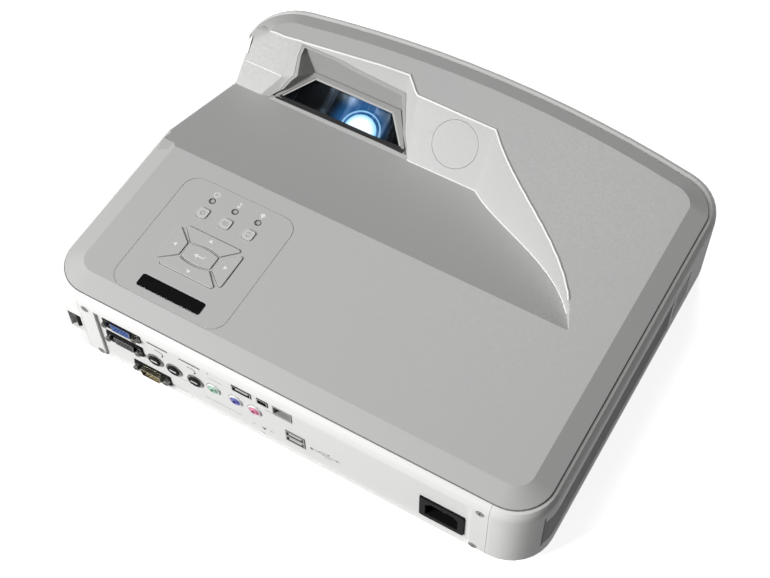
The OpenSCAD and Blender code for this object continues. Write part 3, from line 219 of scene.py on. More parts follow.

# ---- Top cover --------------------------------------------------------------
# The grey cover is one ABS moulding with a satin paint: an even grey that takes
# the light softly. The bezel in the hood's pocket has a darker grey, and the wall
# left of the window a slightly darker, duller one: both are painted shade.
grey_paint = moulded_plastic("grey_satin_paint", "#bcbcba", "#bababa", 0.45, 0.8, 0.008, shine=0.32)
bezel_painted_shade = moulded_plastic("painted_shade_dark_grey", "#9c9c9a", "#989896", 0.5, 0.8, 0.01)
left_wall_painted_shade = moulded_plastic("painted_shade_grey", "#b0b0ae", "#acacaa", 0.5, 0.8, 0.01)


def left_of_window(corners):
    # 1 for a face of the wall left of the window, from the trough up to the flat top, which gets the painted
    # shade.
    x, y, z = [[p[i] for p in corners] for i in range(3)]
    return int(max(x) < -140 and min(y) > 71 and max(y) < 109 and min(z) < 75)


moulded_copy("top_cover", [grey_paint, left_wall_painted_shade], 0.5, choose=left_of_window)
moulded_copy("port_plug", [grey_paint], 0.2)
moulded_copy("window_bezel", [bezel_painted_shade], 0.3)

# ---- Cover seam --------------------------------------------------------------
# A dark grey strip closes the gap between the cover and the shoulder of the case:
# painted shade for the gap's shadow, a dull line with no gloss. It follows the outline
# of the case and dips with it at the trough.
def turn(middle, radius, start, end, steps):
    # Points on an arc, each with its outward direction after it.
    return [(middle[0] + radius * math.cos(a), middle[1] + radius * math.sin(a), math.cos(a), math.sin(a))
            for a in (math.radians(start + (end - start) * i / steps) for i in range(steps + 1))]


def arc(middle, radius, start, end, steps=20):
    return [p[:2] for p in turn(middle, radius, start, end, steps)]


def seam_outline(inset):
    # The cover's edge in plan, from the left wall round the front to the rear. It is
    # the case's outline less its shoulder, 5 mm wide, and 11 mm wide at the rear.
    side, front, rear, bow = 191.5, -161.0, 163.0, 840.0
    front_corner, rear_corner = 32, 38
    bow_y, rear_x = rear - bow, side - rear_corner
    rear_y = bow_y + math.sqrt((bow - rear_corner) ** 2 - rear_x ** 2)
    bow_angle = math.degrees(math.atan2(rear_y - bow_y, rear_x))
    left, right, low = -side + front_corner, side - front_corner, front + front_corner
    points = (turn((left, low), front_corner, 180, 270, 12) + turn((right, low), front_corner, 270, 360, 12)
        + turn((rear_x, rear_y), rear_corner, 0, bow_angle, 12)
        + turn((0, bow_y), bow, bow_angle, 180 - bow_angle, 16)[1:-1]
        + turn((-rear_x, rear_y), rear_corner, 180 - bow_angle, 180, 12))
    inward = [inset + 5.0 + 6.0 * max(0, p[3]) for p in points]
    return [(p[0] - p[2] * k, p[1] - p[3] * k) for p, k in zip(points, inward)]


def trough_height(y):
    # Height of the trough's skin along the left wall.
    knots = ((-23, 82), (72, 47.42), (86, 61.22), (101.8, 82))
    if y <= knots[0][0] or y >= knots[-1][0]:
        return 82.0
    for (y0, z0), (y1, z1) in zip(knots, knots[1:]):
        if y <= y1:
            return z0 + (z1 - z0) * (y - y0) / (y1 - y0)


def mesh_piece(name, points, faces, material, node, instead=False, smooth=False):
    # A piece from points and faces, merged and with its faces turned outwards.
    mesh = bpy.data.meshes.new(name)
    mesh.from_pydata([Vector(p) / 1000 for p in points], [], faces)
    work = bmesh.new()
    work.from_mesh(mesh)
    bmesh.ops.remove_doubles(work, verts=work.verts, dist=1e-6)
    bmesh.ops.recalc_face_normals(work, faces=work.faces)
    for face in work.faces:
        face.smooth = smooth
    work.to_mesh(mesh)
    work.free()
    if smooth:
        mesh.set_sharp_from_angle(angle=math.radians(38))
    mesh.materials.append(material)
    return carry(put(name, mesh), node, instead)


def loft(rings, closed=False):
    # Points and faces of a skin over rings of points, with ends unless it is closed.
    points, faces, n, m = [p for ring in rings for p in ring], [], len(rings), len(rings[0])
    for i in range(n if closed else n - 1):
        j = (i + 1) % n
        faces += [(i * m + k, i * m + (k + 1) % m, j * m + (k + 1) % m, j * m + k) for k in range(m)]
    if not closed:
        faces += [tuple(range(m)), tuple(range((n - 1) * m, n * m))]
    return points, faces


def swept(path, section, closed=False):
    # A flat section (sideways, up) swept upright along a path.
    rings, n = [], len(path)
    for i, p in enumerate(path):
        a = Vector(path[i - 1 if i or closed else 0])
        b = Vector(path[(i + 1) % n if i < n - 1 or closed else i])
        ahead = Vector((b.x - a.x, b.y - a.y, 0)).normalized()
        side = Vector((-ahead.y, ahead.x, 0))
        rings.append([Vector(p) + side * s + Vector((0, 0, u)) for s, u in section])
    return loft(rings, closed)


seam_painted_shade = moulded_plastic("painted_shade_seam_strip", "#7c7c7a", "#70706e", 0.9, 0.6, 0.4)
seam_inset, seam_top, wall_x = 0.25, 76.05, -186.25
seam_sink, deep_sink = 1.15, 3.0
seam = [(x, y, seam_top) for x, y in seam_outline(seam_inset)]
for y in (98, 92, 86, 79, 72, 50, 25, 0, -9.7):
    # It runs lower where the trough's rear wall climbs, so that the wall hides it.
    lower = deep_sink if 75 < y < 97 else seam_sink
    seam.append((wall_x, y, min(seam_top, trough_height(y) - lower)))
strip = [(-0.45, -0.35), (0.3, -0.35), (0.3, 0.35), (-0.45, 0.35)]
mesh_piece("cover_seam", *swept(seam, strip, closed=True), seam_painted_shade, "top_cover")

# ---- Hood rims ---------------------------------------------------------------
# A fine rounded bead is moulded along the hood's upper edge, along its foot in the
# trough and along the crease in the wall left of the window. Its paint is near white,
# a painted highlight that draws a light line round the hood.
def cover_run(wanted):
    # Corners, by rising x, of the cover's edges that wanted picks by their two faces.
    work, corners = merged(frame["nodes"]["top_cover"].data), set()
    work.normal_update()
    for edge in work.edges:
        if len(edge.link_faces) == 2:
            lower, upper = sorted((face.normal for face in edge.link_faces), key=lambda n: n.z)
            ends = [end.co * 1000 for end in edge.verts]
            if wanted(lower, upper, (ends[0] + ends[1]) / 2):
                corners.update(tuple(round(c, 3) for c in end) for end in ends)
    work.free()
    return sorted(corners)


def on_hood_edge(lower, upper, middle):
    # Between the flat top and a wall that faces the front.
    return (upper.z > 0.995 and 0.2 < lower.z < 0.93 and lower.y < -0.05
        and -60 < middle.y < 130 and middle.z > 81.5 and abs(middle.x) < 187)


def on_hood_foot(lower, upper, middle):
    # Between the trough's slope and a wall that faces the front.
    return (abs(upper.z - 0.94) < 0.01 and upper.y > 0.3 and lower.z > 0.3 and lower.y < -0.05
        and middle.z > 40)


bead_painted_highlight = moulded_plastic("painted_highlight_grey", "#f6f6f4", "#f0f0ee", 0.35, 0.6, 0.01)
hood_crease = [(-184.0, 86.0, 61.2), (-163.0, 86.0, 61.2), (-151.5, 86.0, 61.2)]
window_right = -35
hood_foot = [corner for corner in cover_run(on_hood_foot) if corner[0] > window_right]
for name, run, radius in (("hood_edge_bead", cover_run(on_hood_edge), 0.8),
        ("hood_crease_bead", hood_crease, 0.45), ("hood_foot_bead", hood_foot, 0.6)):
    bead = swept(run, arc((0, 0), radius, 0, 315, 7))
    mesh_piece(name, *bead, bead_painted_highlight, "top_cover", smooth=True)

# ---- Window ------------------------------------------------------------------
# The light leaves through a tilted pane of coated glass, sealed along its front
# edge by black rubber bars and a grey sill. Under it lie a concave mirror pan with a
# painted reflection and the domed field lens, whose blue white glow is painted light.
tilt = math.radians(23.5)
pane_across, pane_along = Vector((1, 0, 0)), Vector((0, math.cos(tilt), math.sin(tilt)))
pane_up = pane_across.cross(pane_along)
pane_axes = (pane_across, pane_along, pane_up)
pane_front = Vector((-95.5, 77.6, 46.92))
half_front, half_rear, pane_length = 54.5, 34.5, 25.0


def on_pane(x, s, up=0.0):
    # A point by its place across, along and above the pane.
    return pane_front + pane_across * x + pane_along * s + pane_up * up


# Optical glass with a thin anti-reflection coat: clear, with a cold blue edge and
# a trace of dust.
coated_glass, tree = new_material("coated_window_glass")
place = add(tree, "ShaderNodeTexCoord").outputs["Object"]
dust = add(tree, "ShaderNodeTexNoise", {"Vector": place, "Scale": 260.0, "Detail": 4.0})
haze = add(tree, "ShaderNodeMapRange", {0: dust, 1: 0.45, 2: 0.75, 3: 0.0, 4: 0.06})
pane = add(tree, "ShaderNodeBsdfPrincipled", {"Base Color": linear("#dbe9f2"), "Roughness": haze,
    "IOR": 1.45, "Transmission Weight": 1.0})
add(tree, "ShaderNodeOutputMaterial", {"Surface": pane})
dress(["window_glass"], coated_glass)

# Black rubber: dark and dull, with a weak broad gloss on its round back.
rubber = moulded_plastic("black_rubber", "#161617", "#1d1d1e", 0.6, 0.4, 0.15)
gasket, angles = [], [math.radians(d) for d in (-20, 0, 35, 70, 110, 145, 180, 200)]
for k in range(13):
    # It swells towards its right end.
    swell = 1.0 + 0.5 * max(0, (k - 9) / 3)
    gasket.append([on_pane(-56 + 112 * k / 12, -0.2 + 2.4 * swell * math.cos(a),
        0.1 + swell * max(0, math.sin(a))) for a in angles])
mesh_piece("window_gasket", *loft(gasket), rubber, "window_bezel", smooth=True)
sill_plan = ((-157, 71.8), (-34, 71.8), (-38.0, 76.3), (-152, 75.1))
sill = loft([[(x, y, z) for x, y in sill_plan] for z in (46.7, 47.5)])
mesh_piece("window_sill", *sill, grey_paint, "window_bezel")
bar_run = [(-151.5, 75.6, 47.4), (-70, 76.7, 47.4), (-52, 76.9, 47.4), (-40.0, 77.0, 47.4)]
seal_bar = swept(bar_run, arc((0, 0), 0.85, 0, 315, 7))
mesh_piece("window_seal_bar", *seal_bar, rubber, "window_bezel", smooth=True)

# The bezel's inner lip keeps the cover's own grey, without the bezel's painted shade, as a rim round three
# sides.
rim_width, rim_lift = 1.5, 0.25
lip = [Vector(p) for p in ((-half_front, 0.5), (-half_rear, pane_length), (half_rear, pane_length),
    (half_front, 0.5))]
points, faces = [], []
for start, end in zip(lip, lip[1:]):
    inward = Vector((end.y - start.y, start.x - end.x)).normalized() * rim_width
    faces.append(tuple(range(len(points), len(points) + 4)))
    points += [on_pane(p.x, p.y, rim_lift) for p in (start, end, end + inward, start + inward)]
mesh_piece("pane_rim", points, faces, grey_paint, "window_bezel")

# Silvered plastic with a painted reflection: a dark base for the inside it mirrors,
# faint grey streaks up it, and a painted blue glow of the lens, an emission round it.
lens_middle = Vector((-80.2, 81.0, 43.9))
painted_glow_middle = lens_middle / 1000 + Vector((-0.004, 0.006, 0))
mirror_painted_reflection, tree = new_material("mirror_pan_painted_reflection")
place = add(tree, "ShaderNodeTexCoord").outputs["Object"]
lengthways = add(tree, "ShaderNodeMapping", {"Vector": place, "Scale": (1.0, 0.06, 0.06)})
reflection_streaks = add(tree, "ShaderNodeTexNoise", {"Vector": lengthways, "Scale": 95.0, "Detail": 3.0,
    "Roughness": 0.6})
bands = add(tree, "ShaderNodeValToRGB", {0: reflection_streaks})
dark, pale = bands.color_ramp.elements
dark.position, dark.color = 0.5, linear("#15151a")
pale.position, pale.color = 0.68, linear("#9a9ca8")
from_lens = add(tree, "ShaderNodeVectorMath", {0: place, 1: painted_glow_middle}, operation="DISTANCE")
painted_lens_halo = add(tree, "ShaderNodeMapRange", {0: from_lens.outputs["Value"], 1: 0.013, 2: 0.027, 3: 0.75,
    4: 0.0}, interpolation_type="SMOOTHSTEP")
silver = add(tree, "ShaderNodeBsdfPrincipled", {"Base Color": bands, "Metallic": 0.35, "Roughness": 0.3,
    "Emission Color": linear("#3270ac"), "Emission Strength": painted_lens_halo})
add(tree, "ShaderNodeOutputMaterial", {"Surface": silver})
columns, rows, pan_front, pan_rear = 36, 8, 58, 38
points = []
for i in range(columns + 1):
    for j in range(rows + 1):
        u, v = i / columns * 2 - 1, j / rows
        dip = 5.2 + 3.0 * (1 - u * u) * math.sin(math.pi * v) - 0.7 * math.sin(u * 9 + v)
        points.append(on_pane(u * (pan_front + (pan_rear - pan_front) * v), -1.0 + 28.0 * v, -dip))
tall = rows + 1
faces = [(i * tall + j, (i + 1) * tall + j, (i + 1) * tall + j + 1, i * tall + j + 1)
    for i in range(columns) for j in range(rows)]
pan = mesh_piece("mirror_pan", points, faces, mirror_painted_reflection, "concave_mirror", smooth=True)
thick = pan.modifiers.new("sheet", "SOLIDIFY")
thick.thickness, thick.offset = 0.0008, -1

# Coated crown glass with a painted glow: an emission with a white middle that falls off to cyan.
lens_painted_glow, tree = new_material("painted_glow_coated_lens")
place = add(tree, "ShaderNodeTexCoord").outputs["Object"]
from_middle = add(tree, "ShaderNodeVectorMath", {0: place, 1: lens_middle / 1000}, operation="DISTANCE")
share = add(tree, "ShaderNodeMapRange", {0: from_middle.outputs["Value"], 1: 0.0, 2: 0.0142})
painted_glow_fade = add(tree, "ShaderNodeValToRGB", {0: share})
middle, edge = painted_glow_fade.color_ramp.elements
middle.position, middle.color = 0.62, linear("#fbfeff")
edge.position, edge.color = 1.0, linear("#58b4dc")
dome = add(tree, "ShaderNodeBsdfPrincipled", {"Base Color": linear("#22323c"), "Roughness": 0.05,
    "IOR": 1.6, "Emission Color": painted_glow_fade, "Emission Strength": 1.6})
add(tree, "ShaderNodeOutputMaterial", {"Surface": dome})


def turned_piece(name, middle, axes, profile, material, node, instead=False):
    # A round piece about the third axis, from a profile of (radius, height).
    points, faces, m, steps = [], [], len(profile), 40
    for i in range(steps):
        a, j = 2 * math.pi * i / steps, (i + 1) % steps
        spoke = axes[0] * math.cos(a) + axes[1] * math.sin(a)
        points += [middle + spoke * r + axes[2] * h for r, h in profile]
        faces += [(i * m + k, j * m + k, j * m + k + 1, i * m + k + 1) for k in range(m - 1)]
    return mesh_piece(name, points, faces, material, node, instead, smooth=True)


# The lens sits in a pale blue ring with a painted glow, an emission that stands in for
# the lens's light on it; the tube below it is anodised black, which stays dark with a hard thin gloss.
barrel_black = moulded_plastic("black_anodised_aluminium", "#1a1b1f", "#22242a", 0.35, 0.3, 0.05)
lens_ring_glow_paint = moulded_plastic("lens_ring_painted_glow", "#9cc4e0", "#86b4d6", 0.3, 0.3, 0.02,
    light=("#bfe4f7", 0.7))
lens_radius, lens_rise = 13.0, 1.9
lens_dome = [(lens_radius * k / 8, lens_rise * math.sqrt(max(0, 1 - (k / 8.6) ** 2)) - 0.9) for k in range(9)]
turned_piece("field_lens", lens_middle, pane_axes, lens_dome + [(lens_radius, -2.0), (0, -2.0)], lens_painted_glow,
    "lens_glass")
ring_profile = [(15.6, -2.2), (15.6, -0.4), (16.0, -0.2), (16.5, -0.9), (16.5, -2.2), (15.6, -2.2)]
turned_piece("field_lens_ring", lens_middle, pane_axes, ring_profile, lens_ring_glow_paint, "lens_barrel")

# ---- Key panel ---------------------------------------------------------------
# The panel is a separate grey plate let into the flat top; every key stands in a
# hole with a rounded edge. Marks are printed a hair proud in matt ink: white here
# and on the grey keys, grey on the silver ones, grey and near black at the sockets.
moulded_copy("key_panel", [grey_paint], 0.6)
ink_white = moulded_plastic("white_pad_print", "#f2f2f0", "#e9e9e7", 0.5, 0.3)
ink_grey = moulded_plastic("grey_pad_print", "#5a5a58", "#646462", 0.6, 0.3, shine=0.2)
ink_dark = moulded_plastic("dark_pad_print", "#2c2c2b", "#353534", 0.6, 0.3, shine=0.2)
top = Vector((0, 0, 82.0))
flat = (Vector((1, 0, 0)), Vector((0, 1, 0)), Vector((0, 0, 1)))
lamp_row = (-121, -102, -83)


def stroke(line, width):
    # Outline of a pen stroke along a line of flat points.
    line, left, right = [Vector(p) for p in line], [], []
    for i, p in enumerate(line):
        ahead = (line[min(i + 1, len(line) - 1)] - line[max(i - 1, 0)]).normalized()
        left.append(p + Vector((-ahead.y, ahead.x)) * width / 2)
        right.append(p - Vector((-ahead.y, ahead.x)) * width / 2)
    return left + right[::-1]


def dash(x0, y0, x1, y1, width):
    return stroke([(x0, y0), (x1, y1)], width)


def at(x, y, shapes):
    # The shapes, moved to that spot.
    return [[(p[0] + x, p[1] + y) for p in shape] for shape in shapes]


def joined(parts):
    # Several shapes of points and faces as one.
    points, faces = [], []
    for more, sides in parts:
        faces += [tuple(len(points) + i for i in face) for face in sides]
        points += more
    return points, faces


def printed(name, shapes, origin, axes, material, node, thick=0.04, sink=0.02):
    # Flat shapes as thin raised prisms on a face.
    prisms = [loft([[origin + axes[0] * p[0] + axes[1] * p[1] + axes[2] * lift for p in shape]
        for lift in (-sink, thick)]) for shape in shapes]
    return mesh_piece(name, *joined(prisms), material, node)


power_icon = [stroke(arc((0, 0), 2.1, 125, 415, 24), 0.55), dash(0, 0.6, 0, 2.7, 0.55)]
heat_icon = [dash(0, -0.6, 0, 2.6, 0.9), stroke(arc((0, -1.3), 0.7, 0, 350), 1.0),
    dash(1.4, 0.4, 2.1, 0.4, 0.35), dash(1.4, 1.6, 2.1, 1.6, 0.35)]
lamp_icon = [stroke(arc((0, 0.7), 0.9, 0, 350), 1.5), dash(0, -0.7, 0, -1.9, 1.5),
    dash(-2.6, 0.8, -1.9, 0.8, 0.35), dash(1.9, 0.8, 2.6, 0.8, 0.35)]
icon_y = -44.6
icons = [shape for x, icon in zip(lamp_row, (power_icon, heat_icon, lamp_icon))
    for shape in at(x, icon_y, icon)]
printed("lamp_icons", icons, top, flat, ink_white, "key_panel")

# ---- Indicator lamps -----------------------------------------------------------
# Three clear acrylic light pipes, unlit, each in a dark ring: a grey dot with a
# thin black edge.
pipe_acrylic = moulded_plastic("unlit_acrylic_light_pipe", "#b9bab8", "#b0b1af", 0.3, 2.0, 0.02)
moulded_copy("light_pipes", [pipe_acrylic], 0.15)
lamp_y, ring_steps = -50.8, 32
ring_section = ((1.85, 81.9), (1.9, 82.1), (2.05, 82.14), (2.25, 82.04), (2.25, 81.9))
rings, angles = [], [2 * math.pi * i / ring_steps for i in range(ring_steps)]
for x in lamp_row:
    rings.append(loft([[(x + r * math.cos(a), lamp_y + r * math.sin(a), z) for r, z in ring_section]
        for a in angles], closed=True))
mesh_piece("lamp_rings", *joined(rings), barrel_black, "key_panel", smooth=True)

# ---- Keys --------------------------------------------------------------------
# Eight painted ABS caps with a soft gloss. The three square ones are a lighter silver
# grey, the enter key and the four round it a grey close to the panel's own.
silver_paint = moulded_plastic("silver_grey_key_paint", "#cfcfcd", "#c9c9c7", 0.32, 0.6, 0.04)
pad_paint = moulded_plastic("grey_key_paint", "#c0c0be", "#bcbcba", 0.34, 0.6, 0.04)
key_top, key_radius = Vector((0, 0, 82.8)), 0.75
pad_x, pad_y, key_y = -102.0, -94.8, -63.0
arrow = ((-1.7, -1.1), (1.7, -1.1), (0, 1.6))
for name, x, y, angle in (("up_key", 0, 14.2, 0), ("left_key", -20.6, 0.6, 90),
        ("right_key", 20.6, 0.6, 270), ("down_key", 0, -14.2, 180)):
    moulded_copy(name, [pad_paint], key_radius, steps=3)
    pointing = [Matrix.Rotation(math.radians(angle), 2) @ Vector(p) for p in arrow]
    printed(name + "_arrow", at(pad_x + x, pad_y + y, [pointing]), key_top, flat, ink_white, name)
moulded_copy("enter_key", [pad_paint], key_radius, steps=3)
hook = [dash(-1.5, -0.5, 4.2, -0.5, 0.8), dash(3.9, -0.5, 3.9, 1.5, 0.8),
    [(-4.3, -0.5), (-1.4, 1.3), (-1.4, -2.3)]]
printed("enter_key_arrow", at(pad_x, pad_y, hook), key_top, flat, ink_white, "enter_key")
power_mark = [stroke(arc((0, 0), 1.5, 125, 415), 0.3), dash(0, 0.5, 0, 2.0, 0.3)]
source_mark = [stroke([(-1.8, 1.2), (1.8, 1.2), (1.8, -1.2), (-1.8, -1.2)], 0.3), dash(-2.4, 0, 0.6, 0, 0.3)]
resync_mark = [stroke(arc((0, 0), 1.6, 30, 160), 0.3), stroke(arc((0, 0), 1.6, 210, 340), 0.3)]
for name, x, mark in zip(("power_key", "source_key", "resync_key"), lamp_row,
        (power_mark, source_mark, resync_mark)):
    moulded_copy(name, [silver_paint], key_radius, steps=3)
    printed(name + "_mark", at(x, key_y, mark), key_top, flat, ink_grey, name)

# ---- Infrared window -----------------------------------------------------------
# The receiver sits behind smoked acrylic that only infrared passes: near black, with
# a hard clear gloss.
smoked = moulded_plastic("smoked_acrylic", "#0c0c0d", "#101012", 0.12, 4.0, 0.01, coat=0.6)
moulded_copy("ir_window", [smoked], 0.25)

# ---- Connector panel -----------------------------------------------------------
# The recessed plate is painted steel, a flat even white. Above the sockets plain
# bars and curved arrows are printed, and below them thin rules and a forked mark.
plate_paint = moulded_plastic("white_painted_steel", "#e6e6e5", "#e1e1e0", 0.5, 0.4, 0.04)
moulded_copy("io_plate", [plate_paint], 0.12, angle=30)
plate_y = -159.0
face = Vector((0, plate_y, 0))
front = (Vector((1, 0, 0)), Vector((0, 0, 1)), Vector((0, -1, 0)))
bars = [dash(-105.4, 58.7, -88.6, 58.7, 1.5), dash(-79.2, 58.7, -62.2, 58.7, 1.5)]
curved_arrow = [stroke(arc((0, 0), 3.2, -60, 80), 0.8), dash(-3.2, 3.0, 0.6, 3.0, 0.7)]
bars += at(-96.8, 50.2, curved_arrow) + at(-70.2, 50.2, curved_arrow)
printed("panel_bars", bars, face, front, ink_dark, "io_plate")
rules = [dash(*rule) for rule in (
    (-56.5, 52.9, -44.6, 52.9, 0.3), (-62.0, 22.3, -32.0, 22.3, 0.3), (-90.0, 14.2, -77.6, 14.2, 0.3),
    (-11, 49.2, 11, 49.2, 0.35), (-86, 30.2, -66, 30.2, 0.25), (-9.4, 20.6, -6.6, 20.6, 0.5),
    (-17.0, 12.6, -13.6, 12.6, 0.5), (-23.6, 19.4, -21.2, 19.4, 0.4))]
rules += [stroke(arc((-56, 58.4), 0.45, 0, 340, 10), 0.4), [(-16.2, 20.9), (-12.0, 20.9), (-14.1, 17.9)]]
printed("panel_rules", rules, face, front, ink_grey, "io_plate")
fork = [dash(24, 27.2, 44, 27.2, 0.5), stroke(arc((24.2, 27.2), 0.8, 0, 345, 14), 0.9),
    stroke([(29, 27.2), (32.5, 29.8), (37, 29.8)], 0.45),
    stroke([(32, 27.2), (35.5, 24.6), (39.4, 24.6)], 0.45),
    [(43.6, 28.2), (46.2, 27.2), (43.6, 26.2)], [(36.8, 30.5), (38.4, 30.5), (38.4, 29.1), (36.8, 29.1)]]
printed("data_port_mark", fork, face, front, ink_grey, "io_plate")

# ---- Analogue video sockets -------------------------------------------------------
# Two 15-pole sockets, blue and dark grey, and a pale nine-pole plug. Each has a dark
# flange, a D-shaped body in a drawn metal shell with a bright rim, and two nickel
# nuts. Filled nylon is black and dull; the moulded blue has a low soft gloss.
nylon = moulded_plastic("black_glass_filled_nylon", "#0d0d0f", "#141416", 0.6, 0.5, 0.1, shine=0.12)
nylon_blue = moulded_plastic("blue_moulded_pbt", "#3f63a6", "#385a9a", 0.5, 0.5, 0.06, shine=0.2)
grey_pbt = moulded_plastic("dark_grey_pbt", "#2f2f31", "#262628", 0.45)


def plated(name, hex_code, shade, roughness, grain_mm=0.6, stretch=(1, 1, 1)):
    # Bright metal with fine tool marks, which stretch draws out into lines.
    made, tree = new_material(name)
    place = add(tree, "ShaderNodeTexCoord").outputs["Object"]
    drawn = add(tree, "ShaderNodeMapping", {"Vector": place, "Scale": stretch})
    lines = add(tree, "ShaderNodeTexNoise", {"Vector": drawn, "Scale": 1000 / grain_mm, "Detail": 2.0})
    tone = add(tree, "ShaderNodeMix", {0: lines, 6: linear(hex_code), 7: linear(shade)}, data_type="RGBA")
    gloss = add(tree, "ShaderNodeMapRange", {0: lines, 1: 0.25, 2: 0.75, 3: roughness * 0.8,
        4: roughness * 1.25})
    skin = add(tree, "ShaderNodeBsdfPrincipled", {"Base Color": tone.outputs[2], "Roughness": gloss,
        "Metallic": 1.0})
    add(tree, "ShaderNodeOutputMaterial", {"Surface": skin})
    return made


# Nickel is a cool grey mirror, a gold flash on steel a pale straw, and the plated
# contacts a full warm yellow.
nickel = plated("nickel_plated_steel", "#8f8e8b", "#7b7a77", 0.33)
tinned_gold = plated("pale_gold_flashed_steel", "#b5b09a", "#a19b85", 0.33)
contact_gold = plated("gold_plated_contacts", "#e0bf6c", "#cfa94f", 0.25)


def repeated(name, **sizes):
    # A node tree with the points that come in, and one named input for each size.
    tree = bpy.data.node_groups.new(name, "GeometryNodeTree")
    tree.interface.new_socket("Places", in_out="INPUT", socket_type="NodeSocketGeometry")
    for label, kind in sizes.items():
        tree.interface.new_socket(label, in_out="INPUT", socket_type="NodeSocket" + kind)
    tree.interface.new_socket("Parts", in_out="OUTPUT", socket_type="NodeSocketGeometry")
    return tree, tree.nodes.new("NodeGroupInput").outputs


def close_tree(tree, parts, surface):
    # Instances become real mesh and take their material, then leave the tree.
    real = add(tree, "GeometryNodeRealizeInstances", {0: parts})
    painted = add(tree, "GeometryNodeSetMaterial", {"Geometry": real, "Material": surface})
    add(tree, "NodeGroupOutput", {0: painted})


def grown(name, tree, spots, sizes, node, instead=False, faces=(), smooth=None):
    # Runs a tree on points and keeps the result as a plain mesh.
    seeds = bpy.data.meshes.new(name + "_places")
    seeds.from_pydata([Vector(p) / 1000 for p in spots], [], faces)
    maker = put(name + "_maker", seeds)
    step = maker.modifiers.new("parts", "NODES")
    step.node_group = tree
    for item in tree.interface.items_tree:
        if item.in_out == "INPUT" and item.name in sizes:
            step[item.identifier] = sizes[item.name]
    mesh = bpy.data.meshes.new_from_object(maker.evaluated_get(bpy.context.evaluated_depsgraph_get()))
    bpy.data.objects.remove(maker)
    mesh.name = name
    if smooth:
        for polygon in mesh.polygons:
            polygon.use_smooth = True
        mesh.set_sharp_from_angle(angle=math.radians(smooth))
    return carry(put(name, mesh), node, instead)


pin, given = repeated("round_pin", Radius="Float", Length="Float", Finish="Material")
shank = add(pin, "GeometryNodeMeshCylinder", {"Vertices": 10, "Radius": given["Radius"],
    "Depth": given["Length"]})
pins = add(pin, "GeometryNodeInstanceOnPoints", {"Points": given["Places"], "Instance": shank,
    "Rotation": (math.radians(90), 0, 0)})
close_tree(pin, pins, given["Finish"])


def flange_or_body(x):
    # Paint 0 on the flange, 1 on the D-shaped body and 2 on the two nuts.
    def pick(corners):
        if max(p.y for p in corners) > plate_y - 0.65:
            return 0
        away = [abs(p.x - x) for p in corners]
        return 2 if min(away) > 9.0 else int(max(away) < 9.2)
    return pick


def shell_outline(x, z, inset):
    half, low, high = 8.5 - inset, 7.3 - inset, 4.2 - inset
    return [(x - low, z - high), (x + low, z - high), (x + half, z + high - 1), (x + half - 1, z + high),
        (x - half + 1, z + high), (x - half, z + high - 1)]


vga_x, serial_x, serial_z, shell_wall = -126.5, -107, 16.4, 0.55
for node, x, z, body, shell, rim in (("vga_socket_a", vga_x, 58, nylon_blue, nickel, 2.12),
        ("vga_socket_b", vga_x, 40, grey_pbt, nickel, 2.12),
        ("serial_socket", serial_x, serial_z, tinned_gold, tinned_gold, 4.04)):
    moulded_copy(node, [nylon, body, nickel], 0.1, angle=30, choose=flange_or_body(x))
    outer, inner = shell_outline(x, z, 0.0), shell_outline(x, z, shell_wall)
    walls = [[outer[i], outer[(i + 1) % 6], inner[(i + 1) % 6], inner[i]] for i in range(6)]
    printed(node + "_shell", walls, face, front, shell, node, thick=rim, sink=-0.9)
for node, z in (("vga_socket_a", 58), ("vga_socket_b", 40)):
    holes = [(vga_x + i * 2.3 + (r % 2) * 1.1, -161.02, z + (r - 1) * 2)
        for r in range(3) for i in range(-2, 3)]
    grown(node + "_contacts", pin, holes, {"Radius": 0.00045, "Length": 0.00012, "Finish": nylon}, node)
contacts = [(serial_x + (i - 2 + r / 2) * 2.75, -160.9, serial_z + 1.4 - r * 2.8)
    for r in (0, 1) for i in range(5 - r)]
grown("serial_contacts", pin, contacts, {"Radius": 0.00055, "Length": 0.0028, "Finish": contact_gold},
    "serial_socket", smooth=40)

# ---- Round and audio sockets --------------------------------------------------------
# Three round sockets have a bright nut ring over black nylon with a pale key bar;
# three audio jacks are moulded in green, blue and pink behind a white collar.
ink_pale = moulded_plastic("white_moulded_nylon", "#dcdcda", "#d2d2d0", 0.45)
round_row, round_z, jack_z = (-101.5, -85.8, -68.3), 38.5, 40.3


def ring_or_core(corners):
    # Paint 1 on the nut ring of the nearest socket, 2 down its bore, else 0.
    middle = min(round_row, key=lambda x: abs(corners[0].x - x))
    far = max(math.hypot(p.x - middle, p.z - round_z) for p in corners)
    return 1 if far > 5.0 else 2 if far < 2.0 else 0


